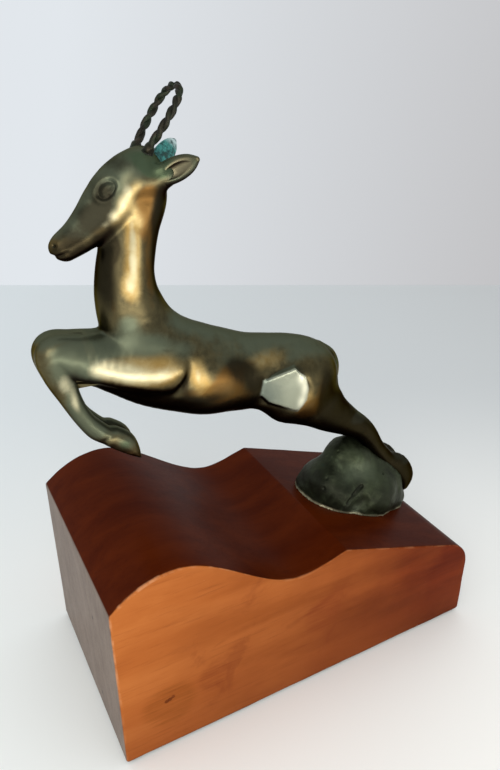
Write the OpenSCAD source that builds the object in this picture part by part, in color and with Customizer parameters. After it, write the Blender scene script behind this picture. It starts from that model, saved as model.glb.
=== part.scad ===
// Bookend statuette: a cast bronze gazelle in mid-leap, held by its hind feet
// on a bronze rock, on a hardwood block whose top is cut as a wave.
// Millimetres. +Z is up, the gazelle leaps towards -X, its left flank faces -Y.
// The origin is the centre of the underside that stands on the shelf.

/* [Wooden base] */
// Length of the block along X
base_len = 190; // [180:1:200]
// Depth of the block along Y
base_depth = 100; // [80:1:120]
// Height of the top edge above the tall end face
end_height = 85.6; // [80:0.2:88]
// Distance of the wave crest from the tall end
crest_x = 27; // [22:1:32]
// Height of the wave crest
crest_height = 97.4; // [92:0.2:98]
// Distance of the wave trough from the tall end
trough_x = 87; // [80:1:94]
// Height of the wave trough
trough_height = 68.5; // [64:0.5:70]
// Distance of the sharp ridge from the tall end
ridge_x = 110.2; // [106:0.2:114]
// Height of the sharp ridge
ridge_height = 73.6; // [72:0.2:76]
// Fall of the flat behind the ridge, in degrees
slope_angle = 19.6; // [18:0.2:21]
// Radius of the rounded low end
nose_radius = 18; // [12:1:24]
// Thickness of the felt under the block
felt_thickness = 1.2; // [0.8:0.1:2]
// Distance of the felt's edge from the block's edge
felt_inset = 1.5; // [1:0.5:4]

/* [Rock] */
// Position of the rock's middle along X
rock_x = 50; // [48:1:52]
// Wall thickness of the hollow rock casting
rock_wall = 4; // [3:0.5:5]

/* [Fasteners] */
// Distance between the two base screws
screw_gap = 28; // [24:1:32]
// Thread diameter of the base screws
screw_d = 5; // [4:0.5:6]
// Length of a base screw under its head
screw_len = 50; // [45:1:52]
// Length of thread that enters the rock
screw_grip = 11; // [8:1:12]
// Diameter of the screw head
head_d = 9.5; // [8:0.5:10]
// Height of the screw head
head_h = 3.2; // [2.5:0.1:4]
// Outer diameter of the washer
washer_d = 12; // [10:0.5:13]
// Thickness of the washer
washer_h = 1.2; // [0.8:0.1:1.6]
// Diameter of the pins that hold the hind hooves
pin_d = 2.5; // [2:0.1:3]

/* [Horns] */
// Radius of one of the two wires that are twisted into a horn
wire_r = 0.92; // [0.6:0.02:1]
// Turns of the twist along one horn
horn_turns = 4; // [3:0.5:8]
// Depth of a horn's seat in the head
horn_seat = 4; // [2:0.5:5]

/* [Gazelle] */
// Half the distance between the two forelegs
foreleg_y = 4.6; // [4:0.1:6]
// Half the distance between the two hind legs
hindleg_y = 6; // [5:0.1:7]
// Interpolated steps between two stations of the figure
body_steps = 3; // [2:1:4]

/* [Hidden] */

fit_gap = 0.05;
bronze = [0.45, 0.40, 0.27];
dark_bronze = [0.25, 0.25, 0.17];
verdigris = [0.15, 0.42, 0.38];
mahogany = [0.48, 0.20, 0.09];
steel = [0.62, 0.63, 0.65];

x0 = -base_len / 2;
slope = tan(slope_angle);
screw_xs = [rock_x - screw_gap / 2, rock_x + screw_gap / 2];

// Height of the sloping flat at x
function flat_z(x) = ridge_height - slope * (x - x0 - ridge_x);
// Height of the wooden shoulder that a screw's washer bears on
function shoulder_z(x) = flat_z(x) + screw_grip - screw_len + washer_h;

// Cubic from a to b, which are [x, z, gradient]
function cubic_z(a, b, u) =
    let (w = b[0] - a[0])
    (2 * pow(u, 3) - 3 * u * u + 1) * a[1] + (pow(u, 3) - 2 * u * u + u) * w * a[2]
    + (3 * u * u - 2 * pow(u, 3)) * b[1] + (pow(u, 3) - u * u) * w * b[2];
function cubic(a, b, steps) =
    [for (i = [0:steps - 1]) [x0 + a[0] + (b[0] - a[0]) * i / steps, cubic_z(a, b, i / steps)]];

// Stations along a limb: each is [x, y, z, radius in the XZ plane, half width in Y]
breast_to_rump = [
    [-67, 0, 164, 12, 11],
    [-50, 0, 161, 19.3, 15],
    [-31, 0, 153.6, 19.4, 15.5],
    [-15, 0, 149, 17.8, 14.5],
    [-2, 0, 146.5, 17.8, 13.5],
    [9, 0, 142.5, 19.2, 15],
    [19, 0, 140.5, 17.2, 14.5],
    [26, 0, 138, 11.8, 12]
];
neck_line = [
    [-53.5, 0, 168, 14.5, 12.5],
    [-58.5, 0, 180, 14.2, 11.2],
    [-61.3, 0, 190.5, 12.6, 10],
    [-61.5, 0, 200, 11.4, 9.2],
    [-59.8, 0, 209, 10.8, 8.7],
    [-56.8, 0, 218, 10, 8.2],
    [-52.5, 0, 227, 9, 8],
    [-51.5, 0, 235, 8.5, 8]
];
head_line = [
    [-53, 0, 237, 8.6, 8],
    [-60, 0, 233, 9.2, 8],
    [-66, 0, 227.5, 8.6, 7.2],
    [-72, 0, 222, 6.9, 5.8],
    [-78, 0, 217, 5.3, 4.6],
    [-82.6, 0, 214.1, 4.2, 4],
    [-85.2, 0, 212.4, 3, 3.3]
];
foreleg_line = [
    [-62, 0, 163, 12.5, 5.5],
    [-75, 0, 168.5, 10.5, 5.2],
    [-85, 0, 172, 8.6, 5],
    [-92, 0, 174, 7, 4.7],
    [-91.5, 0, 166, 5.8, 4.4],
    [-88.5, 0, 155.5, 4.3, 4],
    [-84.5, 0, 146, 3.7, 3.7],
    [-79.5, 0, 138.5, 3.9, 3.9],
    [-73.5, 0, 133.5, 4.2, 4.2]
];
forehoof_line = [
    [-71.5, 0, 131, 4.6, 4.3],
    [-66, 0, 126, 3.6, 3.8],
    [-62.3, 0, 121, 1.1, 2.6]
];
hindleg_line = [
    [12, 0, 135.5, 15.8, 8.5],
    [24, 0, 127.5, 13, 8],
    [33, 0, 119, 10, 6.6],
    [43, 0, 111.5, 7.6, 5.6],
    [52, 0, 105, 6.2, 5],
    [57.5, 0, 99, 5.5, 4.8],
    [63.3, 0, 90.5, 4.8, 4.4],
    [70, 0, 82, 4.8, 4.4]
];
hindhoof_line = [
    [73, 0, 79, 5, 4.6],
    [79.5, 0, 73.5, 6.8, 5],
    [84.5, 0, 66, 6.4, 5],
    [84.5, 0, 60, 4, 4.2]
];

// Each horn's line from its seat to its tip, as [x, distance from the middle plane, z]
horn_line = [
    [-50, 4.4, 245.6],
    [-47.1, 7.2, 250.6],
    [-43.9, 8.5, 255.5],
    [-40.6, 7.8, 260.1],
    [-38.4, 5.3, 263.4],
    [-37.5, 1.4, 265.2]
];

// Where a hind hoof's pin starts in the hoof, and the tilt of the pin from upright
pin_start = [82, 69];
pin_tilt = -62;
pin_len = 15;

// Smooth curve through the points p, sampled at t from 0 to len(p) - 1
function at(p, i) = p[max(0, min(len(p) - 1, i))];
function smooth_at(p, t) =
    let (i = min(floor(t), len(p) - 2), u = t - i)
    0.5 * (2 * at(p, i) + u * (at(p, i + 1) - at(p, i - 1))
    + u * u * (2 * at(p, i - 1) - 5 * at(p, i) + 4 * at(p, i + 1) - at(p, i + 2))
    + pow(u, 3) * (3 * at(p, i) - at(p, i - 1) - 3 * at(p, i + 1) + at(p, i + 2)));
function unit(v) = v / norm(v);

// A rounded lump of the figure at a station
module lump(s, y = 0)
{
    translate([s[0], s[1] + y, s[2]]) scale([s[3], s[4], s[3]]) sphere(r = 1, $fn = 20);
}

// A limb: the lumps of neighbouring stations blended into each other
module limb(line, y = 0, steps = body_steps)
{
    spans = (len(line) - 1) * steps;
    for (i = [0:spans - 1])
    {
        hull()
        {
            lump(smooth_at(line, i / steps), y);
            lump(smooth_at(line, (i + 1) / steps), y);
        }
    }
}

module trunk()
{
    limb(breast_to_rump);
    limb(neck_line);
    limb(head_line);
}

module hind_leg(side)
{
    limb(hindleg_line, side * hindleg_y);
    limb(hindhoof_line, side * hindleg_y, 2);
}

module foreleg_form(side)
{
    limb(foreleg_line, side * foreleg_y);
    limb(forehoof_line, side * foreleg_y, 2);
}

// The half of space on one side of the middle plane
module half_space(side)
{
    translate([-150, side > 0 ? 0 : -100, 100]) cube([120, 100, 120]);
}

// Short tail that lies flat on the rump
module tail()
{
    hull()
    {
        translate([31, 0, 150]) sphere(r = 3, $fn = 16);
        translate([37, 0, 143]) sphere(r = 2.4, $fn = 16);
    }
    hull()
    {
        translate([37, 0, 143]) sphere(r = 2.4, $fn = 16);
        translate([38.5, 0, 136]) sphere(r = 1.2, $fn = 16);
    }
}

// One lump of the rock at dx from its middle, shrunk by inset
module rock_lump(dx, z, r, inset)
{
    translate([rock_x + dx, -1, z]) scale([r[0] - inset, r[1] - inset, r[2] - inset])
        sphere(r = 1, $fn = 24);
}

// The rock's rounded form, shrunk by inset, before it is cut along the sloping flat
module rock_form(inset = 0)
{
    hull()
    {
        rock_lump(-18, flat_z(rock_x - 18), [13.5, 16, 13], inset);
        rock_lump(-12, 84, [8.5, 11, 8], inset);
        rock_lump(-4, 90, [6.5, 8, 7.5], inset);
        rock_lump(2, flat_z(rock_x + 2), [23, 21, 16], inset);
        rock_lump(8, 80, [9, 12, 8], inset);
        rock_lump(24, flat_z(rock_x + 24), [12, 16, 17], inset);
    }
}

// Everything under the sloping flat
module under_flat()
{
    translate([x0 + ridge_x, 0, ridge_height]) rotate([0, slope_angle, 0])
        translate([-60, -60, -80]) cube([180, 120, 80]);
}

// One pin of a hind hoof, grown by extra for the hole it sits in
module hoof_pin(side, extra = 0)
{
    translate([pin_start[0], side * hindleg_y, pin_start[1]]) rotate([0, pin_tilt, 0])
        cylinder(d = pin_d + 2 * extra, h = pin_len, $fn = 32);
}

// A cupped leaf-shaped ear: root at the origin, tip along +Z, open towards -Y
module ear_leaf(length, width)
{
    difference()
    {
        hull()
        {
            scale([width * 0.32, 2.2, 2.5]) sphere(r = 1, $fn = 24);
            translate([0, 0, length * 0.52]) scale([width * 0.5, 2.1, length * 0.26]) sphere(r = 1, $fn = 24);
            translate([0, 0, length - 1]) sphere(r = 1, $fn = 24);
        }
        hull()
        {
            translate([0, -2.2, length * 0.28]) scale([width * 0.24, 2, 1.4]) sphere(r = 1, $fn = 24);
            translate([0, -2.2, length * 0.54]) scale([width * 0.36, 2.4, length * 0.2]) sphere(r = 1, $fn = 24);
            translate([0, -1.8, length * 0.86]) scale([0.8, 1.6, 0.8]) sphere(r = 1, $fn = 24);
        }
    }
}

// Turns +Z to the direction "along" and -Y as near as possible to "open"
module aimed(origin, along, open)
{
    w = unit(along);
    v = -unit(open - (open * w) * w);
    u = cross(v, w);
    multmatrix([
        [u[0], v[0], w[0], origin[0]],
        [u[1], v[1], w[1], origin[1]],
        [u[2], v[2], w[2], origin[2]],
        [0, 0, 0, 1]
    ]) children();
}

// The near horn: two wires twisted together, swept along the horn's line
function horn_point(t) = let (p = smooth_at(horn_line, t)) [p[0], -p[1], p[2]];
function horn_section(a) = wire_r * (1 + abs(cos(a)) * 0.95);
module horn()
{
    rings = 56;
    sides = 14;
    span = len(horn_line) - 1;
    seat_dir = unit(horn_point(0) - horn_point(0.1));
    function centre(i) = i == 0 ? horn_point(0) + horn_seat * seat_dir
        : horn_point(span * (i - 1) / (rings - 2));
    function along(i) = unit(centre(min(rings - 1, i + 1)) - centre(max(0, i - 1)));
    function taper(i) = i > rings - 4 ? 1 - 0.16 * (i - rings + 4) : 1;
    points = [
        for (i = [0:rings - 1])
            let (
                c = centre(i),
                w = along(i),
                u = unit(cross(w, [0.3, 1, 0.1])),
                v = cross(w, u),
                twist = -360 * horn_turns * i / rings
            )
            for (j = [0:sides - 1])
                let (a = 360 * j / sides, r = taper(i) * horn_section(a))
                c + r * (cos(a + twist) * u + sin(a + twist) * v)
    ];
    function next(j) = (j + 1) % sides;
    last = (rings - 1) * sides;
    faces = concat(
        [for (j = [1:sides - 2]) [0, j, j + 1]],
        [for (i = [0:rings - 2]) for (j = [0:sides - 1])
            [i * sides + j, (i + 1) * sides + j, (i + 1) * sides + next(j)]],
        [for (i = [0:rings - 2]) for (j = [0:sides - 1])
            [i * sides + j, (i + 1) * sides + next(j), i * sides + next(j)]],
        [for (j = [1:sides - 2]) [last, last + j + 1, last + j]]
    );
    polyhedron(points = points, faces = faces, convexity = 8);
}

// The drilled seat of the near horn in the head
module horn_seat_hole()
{
    p = horn_point(0);
    q = horn_point(0.1);
    aimed(p - horn_seat * unit(q - p), q - p, [-1, 0, 0])
        cylinder(r = 2 * wire_r + fit_gap, h = horn_seat + 6, $fn = 24);
}

module wood_base()
{
    wave = concat(
        cubic([0, end_height, 0.95], [crest_x, crest_height, 0], 14),
        cubic([crest_x, crest_height, 0], [trough_x, trough_height, 0], 24),
        cubic([trough_x, trough_height, 0], [ridge_x, ridge_height, 0.25], 8)
    );
    // Centre of the rounded end, tangent to the flat and to the low end face
    nose_x = base_len / 2 - nose_radius;
    nose_z = flat_z(nose_x) - nose_radius / cos(slope_angle);
    nose = [for (a = [90 - slope_angle:-10:-5])
        [nose_x + nose_radius * cos(max(a, 0)), nose_z + nose_radius * sin(max(a, 0))]];
    outline = concat(
        [[base_len / 2, felt_thickness], [x0, felt_thickness]],
        wave,
        [[x0 + ridge_x, ridge_height]],
        nose
    );
    color(mahogany) difference()
    {
        translate([0, base_depth / 2, 0]) rotate([90, 0, 0])
            linear_extrude(height = base_depth) polygon(outline);
        for (x = screw_xs)
        {
            translate([x, 0, 0]) cylinder(d = screw_d + 0.6, h = 100, $fn = 48);
            translate([x, 0, 0]) cylinder(d = washer_d + 1.5, h = shoulder_z(x), $fn = 48);
        }
    }
}

module felt_pad()
{
    inner = [base_len - 2 * felt_inset, base_depth - 2 * felt_inset];
    color("darkolivegreen") translate([-inner[0] / 2, -inner[1] / 2, 0])
        cube([inner[0], inner[1], felt_thickness]);
}

module rock()
{
    color(dark_bronze) difference()
    {
        union()
        {
            difference()
            {
                rock_form();
                rock_form(rock_wall);
            }
            intersection()
            {
                rock_form(rock_wall / 2);
                for (x = screw_xs)
                {
                    translate([x, 0, 0]) cylinder(d = 2 * screw_d + 2, h = 100, $fn = 48);
                }
            }
        }
        under_flat();
        for (x = screw_xs)
        {
            translate([x, 0, 0]) cylinder(d = screw_d + 2 * fit_gap, h = flat_z(x) + screw_grip + 0.5, $fn = 48);
        }
        for (side = [-1, 1])
        {
            hoof_pin(side, fit_gap);
        }
    }
}

module gazelle_body()
{
    color(bronze) difference()
    {
        union()
        {
            trunk();
            tail();
            hind_leg(-1);
            hind_leg(1);
        }
        rock_form();
        for (side = [-1, 1])
        {
            hoof_pin(side, fit_gap);
        }
        horn_seat_hole();
        mirror([0, 1, 0]) horn_seat_hole();
    }
}

module foreleg(side)
{
    color(bronze) difference()
    {
        intersection()
        {
            foreleg_form(side);
            half_space(side);
        }
        trunk();
    }
}

module foreleg_near() { foreleg(-1); }
module foreleg_far() { foreleg(1); }

module ear_near()
{
    color(bronze) difference()
    {
        aimed([-48, -5.5, 235.5], [12.4, -8.5, 6.6], [-0.45, -0.85, 0.1]) ear_leaf(16.4, 8);
        trunk();
    }
}

module ear_far()
{
    color(verdigris) difference()
    {
        aimed([-46.5, 5, 237.5], [12, 6.5, 8.5], [0.2, 0.9, 0.1]) ear_leaf(16, 7.5);
        trunk();
    }
}

module horn_near() { color(dark_bronze) horn(); }
module horn_far() { color(dark_bronze) mirror([0, 1, 0]) horn(); }

// A collar of solder round each horn where it leaves the head
module solder_collar()
{
    p = horn_point(0);
    q = horn_point(0.1);
    difference()
    {
        aimed(p - 2.5 * unit(q - p), q - p, [-1, 0, 0])
            cylinder(r1 = 2 * wire_r + 1.3, r2 = 2 * wire_r + 0.4, h = 3.2, $fn = 24);
        horn_seat_hole();
    }
}

module horn_solder()
{
    color(verdigris) difference()
    {
        union()
        {
            solder_collar();
            mirror([0, 1, 0]) solder_collar();
        }
        trunk();
    }
}

module hoof_pins()
{
    color(steel)
    {
        hoof_pin(-1);
        hoof_pin(1);
    }
}

module base_screws()
{
    color(steel) for (x = screw_xs)
    {
        seat = shoulder_z(x) - washer_h;
        difference()
        {
            union()
            {
                translate([x, 0, seat - head_h]) cylinder(d = head_d, h = head_h, $fn = 48);
                translate([x, 0, seat - 0.5]) cylinder(d = screw_d, h = screw_len + 0.5, $fn = 48);
            }
            translate([x - head_d, -0.6, seat - head_h - 1]) cube([2 * head_d, 1.2, 2.4]);
        }
    }
}

module screw_washers()
{
    color(steel) for (x = screw_xs)
    {
        translate([x, 0, shoulder_z(x) - washer_h]) difference()
        {
            cylinder(d = washer_d, h = washer_h, $fn = 48);
            translate([0, 0, -1]) cylinder(d = screw_d + 2 * fit_gap, h = washer_h + 2, $fn = 48);
        }
    }
}

wood_base();
felt_pad();
rock();
gazelle_body();
foreleg_near();
foreleg_far();
ear_near();
ear_far();
horn_near();
horn_far();
horn_solder();
hoof_pins();
base_screws();
screw_washers();
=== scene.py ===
"""Gazelle bookend statuette: cast bronze figure and rock on a varnished, wave-topped block.

The bronze is modelled as digital clay: lumps and limbs are blended in a signed distance
field and meshed. Lengths in the clay tables are millimetres in the part's own frame:
+X towards the tail, -Y towards the viewer, +Z up, origin under the middle of the block.
"""
import math

import bmesh
import bpy
import numpy as np
from mathutils import Matrix, Vector


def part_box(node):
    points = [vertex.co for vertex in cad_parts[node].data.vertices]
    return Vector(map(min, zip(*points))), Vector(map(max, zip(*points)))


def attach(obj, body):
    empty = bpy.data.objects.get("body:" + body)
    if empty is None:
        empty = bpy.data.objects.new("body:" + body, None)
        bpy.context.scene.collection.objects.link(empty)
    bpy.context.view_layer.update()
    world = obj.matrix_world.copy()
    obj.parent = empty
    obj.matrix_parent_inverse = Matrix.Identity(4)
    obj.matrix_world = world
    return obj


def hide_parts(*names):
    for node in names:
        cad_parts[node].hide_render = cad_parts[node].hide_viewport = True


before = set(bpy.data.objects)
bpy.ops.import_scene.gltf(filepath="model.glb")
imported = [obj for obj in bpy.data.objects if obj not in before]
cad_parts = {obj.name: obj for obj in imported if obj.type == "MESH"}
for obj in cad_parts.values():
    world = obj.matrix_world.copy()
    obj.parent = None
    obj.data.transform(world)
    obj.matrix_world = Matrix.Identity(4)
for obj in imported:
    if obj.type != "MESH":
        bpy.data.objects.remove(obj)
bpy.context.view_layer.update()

MM = 0.001
BODY = "root"
CLAY_STEP = 0.5
EAR_STEP = 0.22


def node_box_mm(node):
    """A CAD node's lowest and highest corner, in millimetres."""
    low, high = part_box(node)
    return np.array(low) / MM, np.array(high) / MM


BASE_LOW, BASE_HIGH = node_box_mm("wood_base")
ROCK_LOW, ROCK_HIGH = node_box_mm("rock")
X0 = BASE_LOW[0]

# ---------------------------------------------------------------- the block's wave

CREST = (27.0, BASE_HIGH[2])
TROUGH = (87.0, 68.5)
RIDGE = (110.2, 73.6)
END_HEIGHT = 85.6
END_GRADIENT = 0.95
RIDGE_GRADIENT = 0.25
SLOPE_ANGLE = math.radians(19.6)
NOSE_RADIUS = 18.0
CORNER_EASE = 1.7


def flat_z(x):
    """Height of the sloping flat behind the ridge."""
    return RIDGE[1] - math.tan(SLOPE_ANGLE) * (x - X0 - RIDGE[0])


def cubic(a, b, steps):
    """Points from a to b, each (distance from the tall end, height, gradient)."""
    u = np.arange(steps) / steps
    w = b[0] - a[0]
    z = ((2 * u**3 - 3 * u**2 + 1) * a[1] + (u**3 - 2 * u**2 + u) * w * a[2]
         + (3 * u**2 - 2 * u**3) * b[1] + (u**3 - u**2) * w * b[2])
    return [(X0 + a[0] + w * s, h) for s, h in zip(u, z)]


def block_outline():
    """The block's side view as (x, z), clockwise seen from the front, corners broken."""
    knots = [(0, END_HEIGHT, END_GRADIENT), (*CREST, 0), (*TROUGH, 0), (*RIDGE, RIDGE_GRADIENT)]
    wave = []
    for a, b, steps in zip(knots, knots[1:], (18, 30, 12)):
        wave += cubic(a, b, steps)
    nose_x = BASE_HIGH[0] - NOSE_RADIUS
    nose_z = flat_z(nose_x) - NOSE_RADIUS / math.cos(SLOPE_ANGLE)
    turns = np.linspace(math.pi / 2 - SLOPE_ANGLE, 0, 14)
    nose = [(nose_x + NOSE_RADIUS * math.cos(a), nose_z + NOSE_RADIUS * math.sin(a)) for a in turns]
    ridge = [(X0 + RIDGE[0], RIDGE[1])]
    return eased(eased_corners([(X0, BASE_LOW[2])] + wave + ridge + nose + [(BASE_HIGH[0], BASE_LOW[2])]))


def eased_corners(points):
    """Rounds each corner sharper than 15 degrees with a small arc."""
    out = []
    n = len(points)
    for i in range(n):
        a, b, c = (np.array(points[(i + k) % n]) for k in (-1, 0, 1))
        u, v = (a - b) / np.linalg.norm(a - b), (c - b) / np.linalg.norm(c - b)
        if u @ v > -math.cos(math.radians(15)):
            reach = CORNER_EASE * (0.5 if u @ v < -0.5 else 1.0)
            for t in np.linspace(0, 1, 6):
                out.append((1 - t)**2 * (b + u * reach) + 2 * t * (1 - t) * b + t * t * (b + v * reach))
        else:
            out.append(b)
    return out


def eased(points, longest=8.0):
    """Splits the long straight stretches."""
    out = []
    for a, b in zip(points, points[1:] + points[:1]):
        cuts = max(1, int(np.linalg.norm(b - a) / longest))
        out += [a + (b - a) * t for t in np.arange(cuts) / cuts]
    return np.array(out)


# ---------------------------------------------------------------- digital clay


def smooth_line(points, steps):
    """Catmull-Rom curve through the stations, steps points for each span."""
    p = np.array(points, float)
    padded = np.vstack([p[0], p, p[-1]])
    out = []
    for i in range(len(p) - 1):
        a, b, c, d = padded[i:i + 4]
        for u in np.arange(steps) / steps:
            out.append(0.5 * (2 * b + u * (c - a) + u**2 * (2 * a - 5 * b + 4 * c - d)
                              + u**3 * (3 * b - a - 3 * c + d)))
    out.append(p[-1])
    return np.array(out)


def smooth_min(a, b, k):
    """The lower of two distances, rounded off where they are within k of each other."""
    if k <= 0:
        return np.minimum(a, b)
    h = np.clip(k - np.abs(a - b), 0, None) / k
    return np.minimum(a, b) - h * h * k * 0.25


class Clay:
    """A block of clay: signed distances in mm on a grid, negative inside."""

    FAR = 14.0

    def __init__(self, low, high, step):
        self.low = np.array(low, float)
        self.step = step
        shape = np.ceil((np.array(high, float) - self.low) / step).astype(int) + 1
        self.d = np.full(shape, self.FAR, np.float32)

    def region(self, low, high):
        """The grid's slices between two corners, and their x, y and z coordinates."""
        first = np.clip(np.floor((np.array(low) - self.low) / self.step).astype(int), 0, None)
        last = np.ceil((np.array(high) - self.low) / self.step).astype(int) + 1
        last = np.clip(last, 0, self.d.shape)
        cut = tuple(slice(a, max(a, b)) for a, b in zip(first, last))
        axes = [
            (self.low[i] + self.step * np.arange(cut[i].start, cut[i].stop)).astype(np.float32)
            for i in range(3)
        ]
        return cut, (axes[0][:, None, None], axes[1][None, :, None], axes[2][None, None, :])

    def limb(self, stations, side=1, blend=2.0, steps=4, margin=0.0):
        """Adds a limb: stations are [x, y, z, radius in XZ, half width in Y]; side -1 mirrors y."""
        line = smooth_line(stations, steps)
        line[:, 1] *= side
        margin = max(margin, blend) + 1
        reach = line[:, 3:5].max() + margin + 2 * self.step
        cut, _ = self.region(line[:, :3].min(0) - reach, line[:, :3].max(0) + reach)
        own = np.full(self.d[cut].shape, self.FAR, np.float32)
        start = np.array([c.start for c in cut])
        for a, b in zip(line[:-1], line[1:]):
            r = max(a[3], b[3], a[4], b[4]) + margin
            low, high = np.minimum(a, b)[:3] - r, np.maximum(a, b)[:3] + r
            part, (x, y, z) = self.region(low, high)
            inner = tuple(
                slice(max(p.start, c.start) - s, min(p.stop, c.stop) - s)
                for p, c, s in zip(part, cut, start)
            )
            seg = cone_distance(x, y, z, a, b)
            view = own[inner]
            np.minimum(view, seg[:view.shape[0], :view.shape[1], :view.shape[2]], out=view)
        self.d[cut] = smooth_min(self.d[cut], own, blend)

    def lump(self, centre, radii, blend=2.0, tilt=0.0, cut=False):
        """Adds or cuts an ellipsoid, turned about Y by tilt degrees."""
        r = max(radii) + blend + 2
        part, (x, y, z) = self.region(np.array(centre) - r, np.array(centre) + r)
        m = np.array(Matrix.Rotation(math.radians(tilt), 3, "Y").transposed())
        dx, dy, dz = x - centre[0], y - centre[1], z - centre[2]
        local = [m[i, 0] * dx + m[i, 1] * dy + m[i, 2] * dz for i in range(3)]
        k0 = np.sqrt(sum((v / q)**2 for v, q in zip(local, radii)))
        k1 = np.sqrt(sum((v / q**2)**2 for v, q in zip(local, radii))) + 1e-6
        dist = k0 * (k0 - 1) / k1
        if cut:
            self.d[part] = -smooth_min(-self.d[part], dist, blend)
        else:
            self.d[part] = smooth_min(self.d[part], dist, blend)

    def pair(self, centre, radii, **how):
        """The same lump on both sides of the middle plane."""
        x, y, z = centre
        self.lump((x, -y, z), radii, **how)
        self.lump((x, y, z), radii, **how)

    def groove(self, points, radius, blend=0.6, side=1):
        """Carves a round-bottomed groove through points, each (x, y, z); side -1 mirrors y."""
        line = smooth_line([[*p, radius, radius] for p in points], 4)
        line[:, 1] *= side
        reach = radius + blend + 2
        part, (x, y, z) = self.region(line[:, :3].min(0) - reach, line[:, :3].max(0) + reach)
        own = np.full(self.d[part].shape, self.FAR, np.float32)
        for a, b in zip(line[:-1], line[1:]):
            np.minimum(own, cone_distance(x, y, z, a, b), out=own)
        self.d[part] = -smooth_min(-self.d[part], own, blend)

    def skin(self, x, z, side):
        """How far out the surface lies in y at this x and z, on one side."""
        i, k = (int(round((v - self.low[a]) / self.step)) for v, a in ((x, 0), (z, 2)))
        column = self.d[i, :, k]
        inside = np.flatnonzero(column < 0)
        return abs(self.low[1] + self.step * (inside[-1] if side > 0 else inside[0]))

    def ring(self, centre, radii, tilt, side, depth):
        """Points of a tilted oval that lies on the skin, depth under it."""
        out = []
        for a in np.linspace(0, 2 * math.pi, 17):
            u, v = radii[0] * math.cos(a), radii[1] * math.sin(a)
            c, s = math.cos(math.radians(tilt)), math.sin(math.radians(tilt))
            x, z = centre[0] + u * c - v * s, centre[1] + u * s + v * c
            out.append((x, self.skin(x, z, side) - depth, z))
        return out

    def mesh(self, relax=2):
        """Vertices and quads of the clay's surface."""
        verts, quads = surface_nets(self.d, self.low, self.step)
        return relaxed(verts, quads, relax), quads


def cone_distance(x, y, z, a, b):
    """Distance to a tapered, flattened segment between two stations."""
    ab = b[:3] - a[:3]
    length2 = max(float(ab @ ab), 1e-9)
    t = np.clip(((x - a[0]) * ab[0] + (y - a[1]) * ab[1] + (z - a[2]) * ab[2]) / length2, 0, 1)
    r = a[3] + (b[3] - a[3]) * t
    w = a[4] + (b[4] - a[4]) * t
    dx = x - a[0] - ab[0] * t
    dz = z - a[2] - ab[2] * t
    dy = (y - a[1] - ab[1] * t) * (r / w)
    dist = np.sqrt(dx * dx + dy * dy + dz * dz) - r
    return (dist * np.sqrt(np.minimum(w / r, 1))).astype(np.float32)


CORNERS = [(i, j, k) for i in (0, 1) for j in (0, 1) for k in (0, 1)]
CELL_EDGES = [(a, b) for a in range(8) for b in range(a + 1, 8)
              if sum(abs(p - q) for p, q in zip(CORNERS[a], CORNERS[b])) == 1]


def surface_nets(d, low, step):
    """Quad mesh of the zero level of d."""
    inside = d < 0
    n = np.array(d.shape)
    count = sum(inside[i:n[0] - 1 + i, j:n[1] - 1 + j, k:n[2] - 1 + k].astype(np.int8)
                for i, j, k in CORNERS)
    active = (count > 0) & (count < 8)
    cells = np.argwhere(active)
    ids = np.full(active.shape, -1, np.int32)
    ids[active] = np.arange(len(cells))
    at = [d[tuple((cells + c).T)] for c in CORNERS]
    total, hits = np.zeros((len(cells), 3)), np.zeros(len(cells))
    for a, b in CELL_EDGES:
        cross = (at[a] < 0) != (at[b] < 0)
        t = at[a][cross] / (at[a][cross] - at[b][cross])
        pa, pb = np.array(CORNERS[a]), np.array(CORNERS[b])
        total[cross] += pa + t[:, None] * (pb - pa)
        hits[cross] += 1
    verts = low + step * (cells + total / hits[:, None])
    quads = []
    for axis in range(3):
        u, v = (axis + 1) % 3, (axis + 2) % 3
        near = [slice(1, -1)] * 3
        far = [slice(1, -1)] * 3
        near[axis], far[axis] = slice(0, -1), slice(1, None)
        cross = inside[tuple(near)] != inside[tuple(far)]
        at_edge = np.argwhere(cross)
        at_edge[:, u] += 1
        at_edge[:, v] += 1
        eu, ev = np.eye(3, dtype=int)[u], np.eye(3, dtype=int)[v]
        ring = [ids[tuple((at_edge - s).T)] for s in (eu + ev, ev, 0 * eu, eu)]
        quad = np.stack(ring, 1)
        out = inside[tuple(at_edge.T)]
        quads.append(np.where(out[:, None], quad, quad[:, ::-1]))
    return verts, np.concatenate(quads)


def edges_of(quads):
    """The mesh's edges, each once."""
    pairs = np.concatenate([quads[:, [i, (i + 1) % quads.shape[1]]] for i in range(quads.shape[1])])
    pairs.sort(axis=1)
    return np.unique(pairs, axis=0)


def neighbour_mean(values, edges, count):
    """Mean of each vertex's neighbours, for one column or three."""
    values = values.reshape(len(values), -1)
    a, b = edges.T
    out = np.stack([
        np.bincount(a, values[b, c], len(values)) + np.bincount(b, values[a, c], len(values))
        for c in range(values.shape[1])
    ], 1)
    return out / count[:, None]


def relaxed(verts, quads, rounds):
    """Evens the mesh out without shrinking it."""
    edges = edges_of(quads)
    count = np.bincount(edges.ravel(), minlength=len(verts)).astype(float)
    for _ in range(rounds):
        for step in (0.5, -0.52):
            verts = verts + step * (neighbour_mean(verts, edges, count) - verts)
    return verts


def place(name, data):
    """A new object of this data, linked to the scene."""
    obj = bpy.data.objects.new(name, data)
    bpy.context.scene.collection.objects.link(obj)
    return obj


def smooth(mesh, sharp_degrees=None):
    """Smooth shading, with edges sharper than the angle left crisp."""
    mesh.polygons.foreach_set("use_smooth", [True] * len(mesh.polygons))
    if sharp_degrees is not None:
        mesh.set_sharp_from_angle(angle=math.radians(sharp_degrees))


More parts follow.
